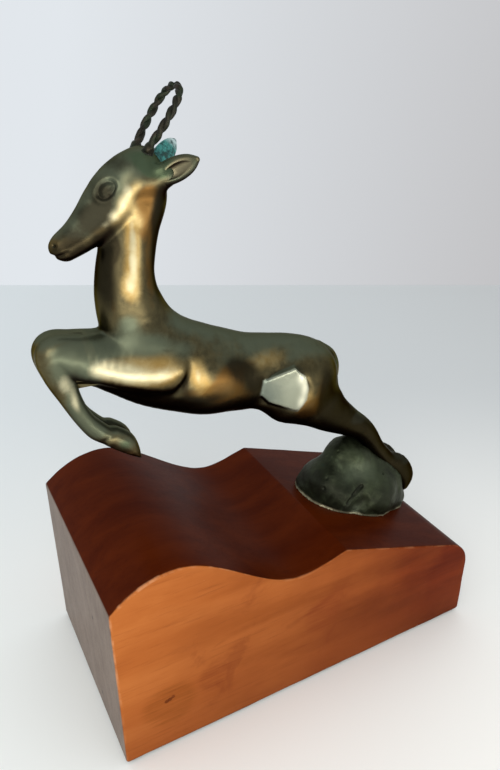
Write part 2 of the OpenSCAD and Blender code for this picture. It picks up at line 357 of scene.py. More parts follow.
def make_object(name, verts, faces, sharp_degrees=None):
    """A smooth-shaded object from vertices in millimetres and faces of vertex numbers."""
    mesh = bpy.data.meshes.new(name)
    faces = faces if isinstance(faces, list) else faces.tolist()
    mesh.from_pydata((np.asarray(verts) * MM).tolist(), [], faces)
    smooth(mesh, sharp_degrees)
    mesh.update()
    return place(name, mesh)


def ring_faces(rings, n):
    """Quads between successive rings of n vertices."""
    pairs = [(i, (i + 1) % n) for i in range(n)]
    return [(k * n + i, k * n + j, k * n + n + j, k * n + n + i) for k in range(rings - 1) for i, j in pairs]


def end_faces(rings, n):
    """The two faces that close a stack of rings."""
    return [tuple(range(n))[::-1], tuple(range((rings - 1) * n, rings * n))]


def closed(obj):
    """Fills any open rim and turns every face outwards."""
    bm = bmesh.new()
    bm.from_mesh(obj.data)
    bmesh.ops.holes_fill(bm, edges=[e for e in bm.edges if e.is_boundary], sides=0)
    bmesh.ops.recalc_face_normals(bm, faces=bm.faces[:])
    bm.to_mesh(obj.data)
    bm.free()


def vertices_of(obj):
    """An object's vertices in millimetres."""
    return np.array([v.co for v in obj.data.vertices]) / MM


def set_attribute(obj, name, values):
    layer = obj.data.attributes.new(name, "FLOAT", "POINT")
    layer.data.foreach_set("value", np.asarray(values, np.float32))


def vertex_normals(obj):
    out = np.zeros(len(obj.data.vertices) * 3, np.float32)
    obj.data.vertex_normals.foreach_get("vector", out)
    return out.reshape(-1, 3)


def ripple(points, wavelength, seed, waves=10):
    """Smooth seeded noise in about -1 to 1."""
    rng = np.random.default_rng(seed)
    out = np.zeros(len(points))
    for _ in range(waves):
        way = rng.normal(size=3)
        way *= 2 * math.pi / wavelength / np.linalg.norm(way) * rng.uniform(0.6, 1.5)
        out += np.sin(points @ way + rng.uniform(0, 2 * math.pi))
    return out / math.sqrt(waves / 2) / 1.6


def spots(verts, places):
    """Soft round places in side view, each (x, z, radius along X, radius along Z, strength)."""
    return sum(w * np.exp(-((verts[:, 0] - x) / rx)**2 - ((verts[:, 2] - z) / rz)**2)
               for x, z, rx, rz, w in places)


# ---------------------------------------------------------------- the gazelle


def in_plane(y, *rows):
    """Stations of a limb that keeps to one plane: each row is (x, z, radius in XZ, half width in Y)."""
    return [[x, y, z, r, w] for x, z, r, w in rows]


FORELEG_Y = 3.8
HINDLEG_Y = 6

# Limbs of the figure; where y isn't given apart, each station is [x, y, z, radius in XZ, half width in Y]
TRUNK = in_plane(
    0, (-67, 164, 12, 10.5), (-50, 161, 19.3, 14), (-31, 153.6, 19.6, 15), (-15, 149, 18, 14.2),
    (-2, 146.5, 17.6, 12.8), (9, 142.5, 19.2, 13.5), (19, 140.5, 17.2, 13.5), (26, 138, 11.8, 11))
NECK = in_plane(
    0, (-53.5, 168, 14.5, 12), (-58.5, 180, 14.2, 11), (-61.3, 190.5, 12.6, 10),
    (-61.5, 200, 11.4, 9.2), (-59.8, 209, 10.8, 8.4), (-56.8, 218, 10, 7.7), (-52.5, 227, 9, 7.8),
    (-51.5, 234, 8.3, 7.4))
HEAD = in_plane(
    0, (-53, 236.6, 8.6, 6.6), (-60, 232.8, 9.2, 6.4), (-66, 227.5, 8.6, 5.3), (-72, 222, 6.9, 4.2),
    (-78, 217.3, 5.3, 3.4), (-82.8, 214.6, 4.1, 3.1), (-85, 213.4, 3.1, 2.8))
ARM = [
    [-84, 5, 171.5, 7.2, 5.4], [-74, 5.8, 168.8, 8, 6.6], [-63, 7.0, 165.2, 8.6, 7.6],
    [-54.5, 7.8, 163, 9, 7.4], [-50, 7.8, 163, 7.6, 6.4],
]
ARM_EDGE = [
    [-80, 7.4, 166.9, 3.4, 2.8], [-73, 9.4, 165.2, 4.2, 3.6], [-66, 11.0, 162.8, 4.6, 3.8],
    [-58.5, 11.9, 160.4, 5.0, 3.8], [-51.5, 12.2, 159.4, 5.2, 3.7], [-47, 12.0, 161.4, 4.4, 3.4],
]
ARM_CREASE = [
    (-70, 13.4, 156.6), (-64, 14.2, 154.6), (-58.5, 15.0, 152.8),
    (-50.5, 15.7, 151.6), (-45.2, 15.9, 156), (-42.4, 16.3, 162), (-42.8, 16.8, 168.5),
]
FORELEG = in_plane(
    FORELEG_Y, (-62, 163, 11, 5.5), (-75, 168.5, 10.2, 5.2), (-85, 172, 8.4, 5), (-92, 174, 6.9, 4.7),
    (-91.5, 166, 5.7, 4.3), (-88.5, 155.5, 4.2, 3.9), (-84.5, 146, 3.7, 3.6), (-79.7, 139, 4.1, 3.8),
    (-75, 135, 3.8, 4.1))
# Ridge of the jaw, from the ear down to the chin
JAW = [
    [-56.8, 3.8, 237.4, 3.8, 3.2], [-59.6, 4.2, 232.2, 4.2, 3.8], [-63.2, 4.0, 226.2, 4.2, 3.7],
    [-69, 3.2, 220.6, 3.9, 3.1], [-76, 2.2, 216.0, 3.2, 2.5], [-82.5, 1.4, 212.8, 2.4, 2.0],
]
EYE = (-67.0, 232.5)
FORELEG_WEB = in_plane(
    0, (-62, 163, 11.1, 8), (-76, 168.5, 10.45, 8.8), (-85, 172, 8.75, 8.8), (-91.6, 173.8, 7.15, 8.4),
    (-91.2, 166, 5.8, 7.0), (-88.6, 157, 3.8, 4.4), (-85.5, 149.5, 2.6, 2.2))
FORE_HOOF = in_plane(
    FORELEG_Y, (-73.5, 134.2, 4.8, 4.4), (-69.5, 130.6, 5.0, 4.5), (-66.3, 126.4, 3.4, 3.6),
    (-63.3, 122.2, 1.0, 2.0))
HIND_LEG = [
    [12, 6.6, 135.5, 15.8, 7.5], [24, 6.4, 127.5, 13, 7.5], [33, 6.2, 119, 10, 6.4],
    [43, 6, 111.5, 7.6, 5.4], [52, 6, 105, 6.2, 4.9], [57.5, 6, 99, 5.5, 4.7],
    [63.3, 6, 90.5, 4.7, 4.3], [70, 6, 82, 4.7, 4.3],
]
HIND_HOOF = in_plane(
    HINDLEG_Y, (73, 79, 5, 4.5), (79.5, 73.5, 6.8, 5), (84.5, 66, 6.4, 5), (84.5, 60.5, 4, 4.2))
HIND_WEB = in_plane(
    0, (33, 119, 8, 4), (52, 105, 5, 4), (63.3, 90.5, 3.6, 4), (73, 79, 4.2, 4), (79.5, 73.5, 5.6, 4),
    (83.5, 66, 5.2, 4))
# The seam of the forelegs: a point, the way it faces, and the heights it runs between
SEAM_POINT = (-79.0, 0, 168.0)
SEAM_NORMAL = (-1.0, 0, -0.12)
SEAM_ZONE = (149.0, 190.0)

# Flat struck on the thigh: its corners (x, z), and the plane it lies in
FLAT_CORNERS = [(-9.6, 141.5), (-8.4, 148.6), (6.8, 152.2), (11.2, 146.8), (12.9, 141.0), (12.3, 135.4),
                (8.4, 130.0), (-5.5, 136.8)]
# Painted highlight along the flat's rim, for spots()
FLAT_SHINE = [(9.6, 147, 1.8, 3, 1), (11.4, 141, 1.8, 4, 1), (10, 134.5, 1.8, 3, 1)]
FLAT_POINT = (-9.0, 13.5, 143.0)
FLAT_NORMAL = (-0.12, 0.99, -0.02)


def sculpt_figure():
    """The whole figure in one lump: trunk, neck, head, tail and legs."""
    low, high = node_box_mm("gazelle_body")
    clay = Clay([node_box_mm("foreleg_near")[0][0] - 3, low[1] - 3, low[2] - 3],
                [high[0] + 3, high[1] + 3, high[2] + 3], CLAY_STEP)
    clay.limb(TRUNK, blend=0, steps=6, margin=12)
    clay.limb(NECK, blend=7.5, steps=14)
    clay.pair((-31, 5.5, 150.5), (17, 9.7, 13), tilt=12, blend=5)
    clay.pair((13, 7.6, 139.5), (17.5, 9.2, 17), tilt=20, blend=3.2)
    clay.pair((24, 6, 141), (9, 7.4, 11), blend=4)
    clay.pair((0.5, 7.0, 138.6), (11.5, 6.4, 8.5), tilt=-10, blend=3)
    clay.pair((-59, 4.4, 169.5), (13, 7, 10), tilt=-14, blend=6)
    for side in (-1, 1):
        clay.limb(ARM, side=side, blend=3)
        clay.limb(ARM_EDGE, side=side, blend=4, steps=10)
        clay.groove(ARM_CREASE, 1.5, blend=2.6, side=side)
        clay.limb(HIND_LEG, side=side, blend=3.5, steps=10)
        clay.limb(HIND_HOOF, side=side, blend=1.4)
        clay.limb(FORELEG, side=side, blend=2.4, steps=10)
        clay.limb(FORE_HOOF, side=side, blend=0.7)
        thigh_flat(clay, side)
        dress_hooves(clay, side)
    clay.limb(FORELEG_WEB, blend=2.0, steps=10)
    clay.limb(HIND_WEB, blend=1.5)
    # tail laid down on the rump
    clay.limb([[28, 0, 152, 3, 3], [34.5, 0, 147.5, 2.8, 2.8], [38, 0, 141.5, 2.3, 2.4],
               [39.4, 0, 135.5, 1.2, 1.4]], blend=1.0)
    # beads of braze along the top of the foreleg seam
    beads = [(-79.4, -4, 0.8), (-79.0, -1, 0.7), (-79.3, 3.5, 0.8), (-77.6, -6.5, 0.6), (-81.5, -2.5, 0.5)]
    for x, y, r in beads:
        clay.lump((x, y, 179.3 - 0.11 * y * y), (1.5 * r, 1.6 * r, r * 0.7), blend=0.8)
    sculpt_head(clay)
    return clay


def flat_outline(x, z):
    """Distance out of the thigh flat's outline, in side view."""
    n = len(FLAT_CORNERS)
    out = np.float32(-100)
    for i in range(n):
        (x1, z1), (x2, z2) = FLAT_CORNERS[i], FLAT_CORNERS[(i + 1) % n]
        size = math.hypot(x2 - x1, z2 - z1)
        out = np.maximum(out, ((x - x1) * (z1 - z2) + (z - z1) * (x2 - x1)) / size)
    return out


def flat_plane(side):
    """A point of the thigh flat on one side, and the way it faces."""
    normal = np.array(FLAT_NORMAL) * (1, side, 1)
    return np.array(FLAT_POINT) * (1, side, 1), normal / np.linalg.norm(normal)


def thigh_flat(clay, side):
    """Planes the thigh's front to one flat, whose front and upper edges stand proud of the flank."""
    point, normal = flat_plane(side)
    part, (x, y, z) = clay.region([-16, -24, 122], [22, 24, 160])
    face = (x - point[0]) * normal[0] + (y - point[1]) * normal[1] + (z - point[2]) * normal[2]
    outline = flat_outline(x, z)
    plate = -smooth_min(-outline, -face, 1.2)
    plate = np.maximum(plate, -face - 5)
    # the thigh is cut back to the plane, and less and less so outside the outline
    cutter = 0.55 * np.maximum(outline, 0) - face
    clay.d[part] = -smooth_min(-clay.d[part], cutter, 1.4)
    clay.d[part] = smooth_min(clay.d[part], plate, 0.7)


def dress_hooves(clay, side):
    """Flattens the forehoof's sole, parts it from the pastern and cleaves both hooves."""
    part, (x, y, z) = clay.region([-82, -12, 118], [-58, 12, 138])
    # distance under the sole's sloping plane
    sole = (x + 78.2) * -0.595 + (z - 132.6) * -0.804
    clay.d[part] = -smooth_min(-clay.d[part], -sole, 0.5)
    y = FORELEG_Y
    for out in (1, -1):
        pastern = [(-78, y + out * 4.2, 135.5), (-74.5, y + out * 4.9, 137.5), (-71, y + out * 4.4, 139.5)]
        clay.groove(pastern, 0.5, 1.0, side)
    clay.groove([(-67.5, y, 133.5), (-64.8, y, 128.5), (-62.4, y, 121)], 0.45, 0.8, side)
    y = HINDLEG_Y
    clay.groove([(86.5, y, 73), (91, y, 66.5), (91, y, 60)], 0.5, 1.0, side)


def sculpt_head(clay):
    """Adds the skull, jaws, eyes, mouth and nostrils, and the flares that carry ears and horns."""
    clay.limb(HEAD, blend=1.6, steps=12)
    clay.limb([[-57, 0, 227, 5.4, 5.2], [-64, 0, 221.9, 4.6, 4.8], [-74, 0, 216.3, 3.6, 3.4],
               [-82.3, 0, 211.6, 2.3, 2.6]], blend=1.8)
    for side in (-1, 1):
        clay.limb(JAW, side=side, blend=5, steps=10)
        clay.groove([(-71.5, 7.0, 212.6), (-67.5, 8.0, 216.2), (-63.5, 9.0, 219.6), (-60, 9.6, 222.5)],
                    0.9, 2.6, side)
    for side in (-1, 1):
        rim = clay.ring(EYE, (4.6, 2.9), 46, side, 0.9)
        lid = clay.ring(EYE, (3.3, 1.8), 46, side, 0.0)
        ball = clay.skin(*EYE, side) - 1.8
        clay.limb([[x, y, z, 0.6, 0.6] for x, y, z in rim], side=side, blend=1.6, steps=2)
        clay.groove(lid, 0.18, 1.3, side)
        clay.lump((EYE[0], side * ball, EYE[1]), (2.9, 1.9, 1.7), tilt=-46, blend=1.3)
        mouth = [(-85.6, 211.1), (-84.2, 211.6), (-82.9, 212.3)]
        clay.groove([(x, clay.skin(x, z, side) + 0.05, z) for x, z in mouth], 0.3, 0.8, side)
    clay.groove([(-87.6, -4, 210.0), (-87.4, 0, 210.0), (-87.6, 4, 210.0)], 1.1, 0.8)
    clay.pair((-86.7, 2.1, 214.6), (0.8, 0.5, 0.4), tilt=45, cut=True, blend=0.8)
    # flares that the ears are soldered to, first the near one
    near = [[-54, -2.5, 234.5, 6, 5], [-49, -5.4, 234.8, 5.0, 3.4], [-45.8, -7.4, 236.2, 4.5, 2.3]]
    far = [[-51, 3.5, 236, 4.8, 4], [-47.0, 4.2, 238, 3.8, 2.6], [-43.8, 5.0, 239.9, 3.1, 1.8]]
    clay.limb(near, blend=3)
    clay.limb(far, blend=2.6)
    # swellings under the horns
    clay.limb([[-54.5, 0, 239, 4.4, 4.6], [-51.8, 0, 242, 2.8, 4.8]], blend=3)


def seam_split(obj):
    """Parts the forelegs from the figure at the brazed seam, and from each other."""
    bm = bmesh.new()
    bm.from_mesh(obj.data)
    zone = [f for f in bm.faces if SEAM_ZONE[0] < f.calc_center_median().z / MM < SEAM_ZONE[1]]
    geom = zone + list({e for f in zone for e in f.edges}) + list({v for f in zone for v in f.verts})
    cut = bmesh.ops.bisect_plane(bm, geom=geom, plane_co=Vector(SEAM_POINT) * MM,
                                 plane_no=Vector(SEAM_NORMAL).normalized())
    rim = [e for e in cut["geom_cut"] if isinstance(e, bmesh.types.BMEdge)]
    bmesh.ops.split_edges(bm, edges=rim)
    groups = islands(bm)
    whole = bm.copy()
    bm.verts.ensure_lookup_table()
    keep_only(bm, groups[0])
    cap_sawn(bm, obj)
    out = []
    for name, side in (("foreleg_near_bronze", -1), ("foreleg_far_bronze", 1)):
        legs = whole.copy()
        keep_only(legs, islands(legs)[1])
        geom = legs.verts[:] + legs.edges[:] + legs.faces[:]
        bmesh.ops.bisect_plane(legs, geom=geom, plane_co=(0, 0, 0), plane_no=(0, -side, 0), clear_outer=True)
        leg = place(name, bpy.data.meshes.new(name))
        keep_only(legs, islands(legs)[0])
        cap_sawn(legs, leg)
        out.append(leg)
    return out


def islands(bm):
    """The mesh's connected pieces as sets of vertex indices, largest first."""
    bm.verts.index_update()
    bm.verts.ensure_lookup_table()
    label = np.arange(len(bm.verts))
    pairs = np.array([(e.verts[0].index, e.verts[1].index) for e in bm.edges])
    while True:
        low = np.minimum(label[pairs[:, 0]], label[pairs[:, 1]])
        new = label.copy()
        np.minimum.at(new, pairs[:, 0], low)
        np.minimum.at(new, pairs[:, 1], low)
        new = new[new]
        if (new == label).all():
            break
        label = new
    names, counts = np.unique(label, return_counts=True)
    return [set(np.flatnonzero(label == n).tolist()) for n in names[np.argsort(-counts)]]


def keep_only(bm, group):
    """Deletes every vertex that isn't in the group."""
    bmesh.ops.delete(bm, geom=[v for v in bm.verts if v.index not in group], context="VERTS")


def cap_sawn(bm, obj):
    """Fills the sawn openings flat and stores the mesh in obj."""
    rim = [e for e in bm.edges if e.is_boundary]
    if rim:
        caps = bmesh.ops.triangle_fill(bm, edges=rim, use_beauty=True)["geom"]
        for e in rim:
            e.smooth = False
        for f in caps:
            if isinstance(f, bmesh.types.BMFace):
                f.smooth = False
    bmesh.ops.recalc_face_normals(bm, faces=bm.faces[:])
    bm.to_mesh(obj.data)
    bm.free()


def wear(obj, gain=40.0, rounds=6):
    """Stores where the surface has ridges and where it has hollows."""
    verts = vertices_of(obj)
    edges = np.array([e.vertices for e in obj.data.edges])
    count = np.maximum(np.bincount(edges.ravel(), minlength=len(verts)), 1).astype(float)
    bend = np.einsum("ij,ij->i", verts - neighbour_mean(verts, edges, count), vertex_normals(obj))
    for _ in range(rounds):
        bend = 0.5 * bend + 0.5 * neighbour_mean(bend, edges, count)[:, 0]
    set_attribute(obj, "ridge", np.clip(bend * gain, 0, 1))
    set_attribute(obj, "hollow", np.clip(-bend * gain, 0, 1))
    return verts


# Patches of the patina and of painted light and shade, for spots()
PATCHES = {
    # handling wear, with painted highlights laid along the jaw, neck, arm and flank
    "rubbed_and_highlight": [
        (-59.0, 234.5, 3.6, 3.8, 1.0), (-61.8, 228.5, 3.8, 3.6, 1.0), (-66, 223.6, 3.8, 3, 1.0),
        (-71.5, 219.4, 4, 2.2, 0.8), (-77, 215.8, 3.5, 1.8, 0.3), (-57.5, 222, 3.4, 4, 0.7),
        (-59.2, 219, 2.6, 5, 0.8), (-60, 212.5, 3, 6, 1.0), (-61.3, 204, 3.4, 6, 1.0),
        (-62.6, 196.5, 4, 5, 0.9), (-54, 164, 9, 7, 1.0), (-66, 166, 7, 6, 1.0),
        (-77, 168, 6, 4.5, 0.8), (-39, 159, 3.5, 7, 1.0), (-37, 152, 4, 5, 0.8), (-27, 150, 7, 6, 0.5),
        (-8, 159, 10, 3.0, 0.5), (-3, 155.5, 12, 3.5, 0.5), (14, 135, 4, 6, 0.7),
        (-70, 126.5, 5, 2, 0.8),
    ],
    "brown": [
        (-54.5, 227, 5, 5, 0.9), (-52, 231, 5, 3, 0.8), (-53, 217, 4, 7, 0.9),
        (-57.5, 217, 2, 2.5, 0.5), (-54.5, 200, 3, 12, 0.7), (-69, 188, 2.5, 12, 0.5),
        (-63.5, 238.5, 4, 3, 0.5), (-29, 149, 9, 6, 1.3), (-25, 155, 7, 6, 1.1), (13, 129.5, 6, 6, 1.4),
        (-16, 144, 7, 5, 0.7), (26, 124, 8, 6, 0.4), (-84, 212, 4, 2, 0.6), (-42, 151, 8, 4, 0.6),
        (20, 138, 5, 12, 0.6), (-13, 158, 5, 3, 0.5),
    ],
    # dark patina, with painted shade where dark reflections fall on the neck, snout, belly and hind leg
    "dark": [
        (-19, 156, 7, 5, 1.0), (-12, 148, 7, 6, 1.0), (-24, 161, 5, 3, 0.5), (-40, 147, 14, 4, 1.0),
        (-45, 157, 2.2, 6, 0.9), (24, 138, 6, 14, 1.0), (30, 126, 9, 9, 1.0), (36, 119, 10, 9, 1.1),
        (46, 107, 12, 9, 1.1), (60, 92, 12, 12, 1.2), (74, 80, 9, 9, 1.2), (82, 67, 9, 12, 1.2),
        (-71, 204, 4.2, 18, 1.1), (-67.5, 213, 3.6, 5, 1.2), (-50.5, 206, 3, 20, 1.0),
        (-68, 153, 14, 3.5, 0.9), (-76, 158, 6, 3, 0.8), (-12, 139, 8, 4, 0.8), (-73, 223.5, 7, 5, 1.0),
        (-68, 231.5, 5, 5, 0.9), (-80, 217, 5, 3.5, 0.8), (-85.5, 212, 4.5, 4, 1.1),
        (-79, 213, 4, 2.5, 0.5), (-46.5, 230.5, 3.5, 4, 0.9), (-48.5, 222, 3, 7, 0.7),
        (-62, 240.5, 7, 3.5, 0.6),
    ],
    "green": [
        (-51.5, 240, 5, 4, 1.0), (-46.5, 238.5, 5, 4, 0.9), (-56, 242.5, 5, 2.5, 0.6),
        (37, 141, 3, 8, 0.7), (-79, 178, 5, 2.5, 0.5), (-70, 131.5, 4, 3, 0.6),
    ],
    # grey-green patina, with a painted reflection of the room on snout, shins and shoulders
    "grey": [
        (-73, 227, 9, 6, 1.0), (-66, 235, 7, 6, 1.0), (-58, 241, 7, 6, 1.0), (-79, 219.5, 7, 4, 0.9),
        (-72.5, 224.5, 5, 4, 0.6), (-89, 172, 8, 10, 1.2), (-86, 155, 5, 10, 0.8),
        (-79, 141, 7, 7, 0.9), (-68, 132, 6, 5, 0.7), (-74, 176, 9, 4, 1.0), (-58, 175, 10, 5, 1.0),
        (-44, 170, 8, 5, 0.7), (-40, 237, 9, 7, 1.2), (-65, 184, 5, 5, 0.9), (-83, 165, 6, 12, 0.8),
        (-84, 150, 6, 9, 0.8), (50, 114, 8, 3.5, 1.4), (84, 78, 6, 3, 1.0),
    ],
    # painted highlights: cream cores of the bright reflections on neck, jaw, arm and shin
    "pale": [
        (-59.8, 216, 1.7, 6, 0.6), (-60.9, 206, 1.9, 6, 0.7), (-62.8, 198, 2.2, 4, 0.6),
        (-60.4, 232, 2.0, 3.2, 0.6), (-62.8, 227.8, 2.2, 3, 0.6), (-66, 224, 2.6, 2.4, 0.5),
        (-70, 220.8, 3, 1.8, 0.3), (-56, 163, 9, 4, 0.7), (-68, 166, 6, 4, 0.8),
        (-77, 168.5, 6, 4, 0.8), (-39.5, 158.5, 1.6, 5, 0.5), (-91, 164, 3.5, 5, 0.6),
        (-87.6, 156, 2, 6, 0.6), (-84.6, 147, 2, 5, 0.3),
    ],
}


def paint_bronze(obj):
    """Stores how the patina lies: hollows, ridges, patches that handling wears to gold, and patches of
    painted highlight and shade.
    """
    verts = wear(obj, rounds=8)
    for name, places in PATCHES.items():
        set_attribute(obj, name, np.clip(spots(verts, places), 0, 1))
    flat = np.zeros(len(verts))
    inside = np.clip((0.6 - flat_outline(verts[:, 0], verts[:, 2])) / 0.8, 0, 1)
    for side in (-1, 1):
        point, normal = flat_plane(side)
        flat = np.maximum(flat, inside * np.clip(2.5 - 4 * np.abs((verts - point) @ normal), 0, 1))
    set_attribute(obj, "flat", flat)
    set_attribute(obj, "shine", np.clip(flat * spots(verts, FLAT_SHINE), 0, 1))


# ---------------------------------------------------------------- ears

EARS = {
    "near": dict(root=(-48.4, -5.6, 235.0), along=(12.4, -8.5, 6.9), open=(-0.40, -0.88, 0.1),
                 length=17.4, width=8.8),
    "far": dict(root=(-45.8, 4.2, 238.0), along=(12.6, 5.0, 8.6), open=(0.2, 0.9, 0.1),
                length=15.2, width=7.8),
}


def sculpt_ear(length, width):
    """An ear with its root at the origin, its tip along +Z and its cup open to -Y."""
    half = width / 2
    leaf = [
        [0, 0, 0, half * 0.96, 3.0],
        [0, 0.2, length * 0.2, half * 0.98, 2.6],
        [0, 0.5, length * 0.46, half, 2.1],
        [0, 0.4, length * 0.7, half * 0.78, 1.5],
        [0, 0, length - 1.2, half * 0.26, 0.9],
    ]
    cup = [
        [half * 0.16, -2.1, length * 0.24, half * 0.34, 1.5],
        [half * 0.1, -2.0, length * 0.44, half * 0.56, 2.1],
        [0, -1.8, length * 0.64, half * 0.48, 1.6],
        [0, -1.5, length * 0.8, half * 0.18, 0.8],
    ]
    outside, hollow = (Clay([-width, -6, -3], [width, 6, length + 3], EAR_STEP) for _ in range(2))
    outside.limb(leaf, blend=0, steps=6)
    hollow.limb(cup, blend=0, steps=6)
    outside.d = -smooth_min(-outside.d, hollow.d, 0.5)
    return outside


def ear(name, root, along, open, length, width):
    verts, quads = sculpt_ear(length, width).mesh(relax=3)
    w = Vector(along).normalized()
    v = -(Vector(open) - w * Vector(open).dot(w)).normalized()
    u = v.cross(w)
    turn = np.array([u, v, w])
    # the ear curls a little towards its open side
    up = verts[:, 2] / length
    curl = up**2 * 1.2
    inside = (1 - (verts[:, 0] / (width * 0.36))**2 - ((up - 0.52) / 0.36)**2) * (verts[:, 1] < 0.6)
    obj = make_object(name, (verts - curl[:, None] * (0, 1, 0)) @ turn + np.array(root), quads)
    # the cup's floor, which the bronze paints pale as painted light
    set_attribute(obj, "inside", np.clip(1.8 * inside, 0, 1))
    set_attribute(obj, "tip", np.clip((up - 0.66 + 0.1 * verts[:, 0] / width) * 5, 0, 1))
    return obj


# ---------------------------------------------------------------- horns

HORN_LINE = [
    [-51.4, 3.0, 242.6],
    [-50.0, 4.4, 245.6],
    [-47.1, 7.2, 250.6],
    [-43.9, 8.5, 255.5],
    [-40.6, 7.8, 260.1],
    [-38.4, 5.3, 263.4],
    [-37.5, 0.8, 265.3],
]
WIRE_R = 0.98
HORN_TURNS = 3.7
WIRE_SIDES = 14


def cross_frame(path):
    """Two unit vectors across a path, at each of its points."""
    tangent = np.gradient(path, axis=0)
    tangent /= np.linalg.norm(tangent, axis=1)[:, None]
    side = np.cross(tangent, [0.3, 1.0, 0.1])
    side /= np.linalg.norm(side, axis=1)[:, None]
    return side, np.cross(tangent, side)


def swept(path, radii, sides):
    """An open tube along a path of points."""
    side, other = cross_frame(path)
    a = np.arange(sides) / sides * 2 * math.pi
    ring = np.cos(a)[None, :, None] * side[:, None] + np.sin(a)[None, :, None] * other[:, None]
    return (path[:, None] + radii[:, None, None] * ring).reshape(-1, 3), ring_faces(len(path), sides)


def horn(name, side):
    """Two wires laid round each other along the horn's line; the far one is rooted further forward."""
    roots = [(-2.0, 0, -0.6), (-1.6, 0, -0.3), (-0.6, 0, 0)] if side > 0 else []
    shift = np.array(roots + [(0, 0, 0)] * (len(HORN_LINE) - len(roots)))
    line = smooth_line([[x, side * y, z, 0, 0] for x, y, z in HORN_LINE + shift], 24)[:, :3]
    t = np.linspace(0, 1, len(line))
    across, up = cross_frame(line)
    taper = (1.12 - 0.22 * t) * (1 - 0.5 * np.clip((t - 0.94) / 0.06, 0, 1)**2)
    verts, faces = [], []
    for strand in (0, 1):
        a = side * 2 * math.pi * HORN_TURNS * t + strand * math.pi
        offset = 0.62 * WIRE_R * (np.cos(a)[:, None] * across + np.sin(a)[:, None] * up)
        radius = WIRE_R * taper * (1 + 0.06 * np.sin(37 * t + strand) + 0.04 * np.sin(91 * t))
        v, f = swept(line + offset * taper[:, None], radius, WIRE_SIDES)
        faces += [tuple(i + len(verts) for i in q) for q in f]
        verts += v.tolist()
    obj = make_object(name, verts, faces)
    closed(obj)
    return obj


def solder():
    """A lumpy collar of solder round each horn, run out over the crown."""
    clay = Clay([-62, -11, 235], [-42, 11, 252], EAR_STEP)
    for side in (-1, 1):
        s = 1.7 * (side > 0)
        collar = [[-52.2 - s, 3.2, 241.0, 3.0, 2.9], [-51.0 - s, 3.6, 243.2, 2.4, 2.3],
                  [-50.2 - s, 4.4, 245.2, 1.9, 1.9]]
        clay.limb(collar, side=side, blend=0.5)
        clay.lump((-53.4 - s, side * 4.4, 241.0), (2.0, 1.5, 1.0), blend=1.2, tilt=-40)
    verts, quads = clay.mesh()
    return make_object("solder_collars", verts + 0.25 * ripple(verts, 3.5, 5)[:, None], quads)


# ---------------------------------------------------------------- rock

ROCK_X = 50.0
ROCK_CREASE = [(46.8, 78.6), (45, 77.8), (43.2, 76.7), (41.2, 75.4), (39.5, 74), (37.2, 71.9), (35.2, 69.7)]
ROCK_PITS = [(40, 94, 0.4), (30, 84, 0.5), (27.5, 80, 0.5), (62, 80, 0.5)]

# Painted shade and painted glints on the rock, for spots()
ROCK_TONES = {
    "shade": [(60, 71, 8, 7, 1), (26, 80, 6, 12, 1)] + [(x, z, 1.3, 1.3, 1) for x, z in ROCK_CREASE],
    "glint": [(41, 66, 4, 4, 1), (45, 85, 7, 4, 1), (52, 84, 5, 4, 1)],
}


def sculpt_rock():
    """A smooth-shouldered dome with a boulder standing out of its front, right of a carved crease."""
    clay = Clay(ROCK_LOW - 4, ROCK_HIGH + 8, CLAY_STEP)
    # each row: place along X from the middle, height over the flat, radius in XZ, half width
    dome = [(-17, 0.5, 12, 16), (-9, 4, 17, 20), (1, 5, 21.2, 20.5), (13, 5, 19.2, 18.5), (23, 2, 13.5, 15)]
    clay.limb([[ROCK_X + x, -1, flat_z(ROCK_X + x) + h, r, w] for x, h, r, w in dome], blend=0, steps=5)
    clay.limb([[ROCK_X - 7, -2, 88, 7.5, 9], [ROCK_X + 1, -1, 87, 9.5, 12], [ROCK_X + 12, 0, 78.5, 10, 12],
               [ROCK_X + 23, 0, 67, 10, 12]], blend=6)
    clay.lump((ROCK_X - 15, -5, 79), (9.5, 11, 7), blend=7)
    # the boulder, and the crease carved behind its upper left edge
    clay.lump((55.5, -12.6, 66.5), (17.5, 11.5, 15.5), tilt=14, blend=2.5)
    crease = [(x, clay.skin(x, z, -1) - 0.3, z) for x, z in ROCK_CREASE]
    clay.groove(crease[:4], 0.6, 1.0, -1)
    clay.groove(crease[3:6], 0.3, 1.2, -1)
    clay.lump((43, -clay.skin(43, 70, -1) - 1.2, 70), (5.5, 2.4, 4.5), tilt=-30, cut=True, blend=3)
    for x, z, r in ROCK_PITS:
        clay.lump((x, -clay.skin(x, z, -1), z), (r, 0.7 * r, r), cut=True, blend=0.8)
    part, (x, _, z) = clay.region(ROCK_LOW - 5, ROCK_HIGH + 9)
    clay.d[part] = np.maximum(clay.d[part], -(z - flat_z(x)) * math.cos(SLOPE_ANGLE))
    return clay


def rock():
    """The rock's casting, with an uneven surface and a ragged foot."""
    verts, quads = sculpt_rock().mesh()
    obj = make_object("rock_casting", verts, quads)
    normals = vertex_normals(obj)
    height = (verts[:, 2] - flat_z(verts[:, 0])) * math.cos(SLOPE_ANGLE)
    free = np.clip(height / 2, 0, 1)
    rough = 0.35 * ripple(verts, 17, 11) + 0.07 * ripple(verts, 6, 12) + 0.03 * ripple(verts, 2.5, 13)
    verts = verts + normals * (free * (rough - 0.3))[:, None]
    foot = np.clip(1 - height / 3, 0, 1) * (height > 0.3)
    verts = verts + normals * (foot * (0.45 * ripple(verts, 5, 15) - 0.2))[:, None]
    obj.data.vertices.foreach_set("co", (verts * MM).ravel())
    obj.data.update()
    return obj


# ---------------------------------------------------------------- wooden block and felt


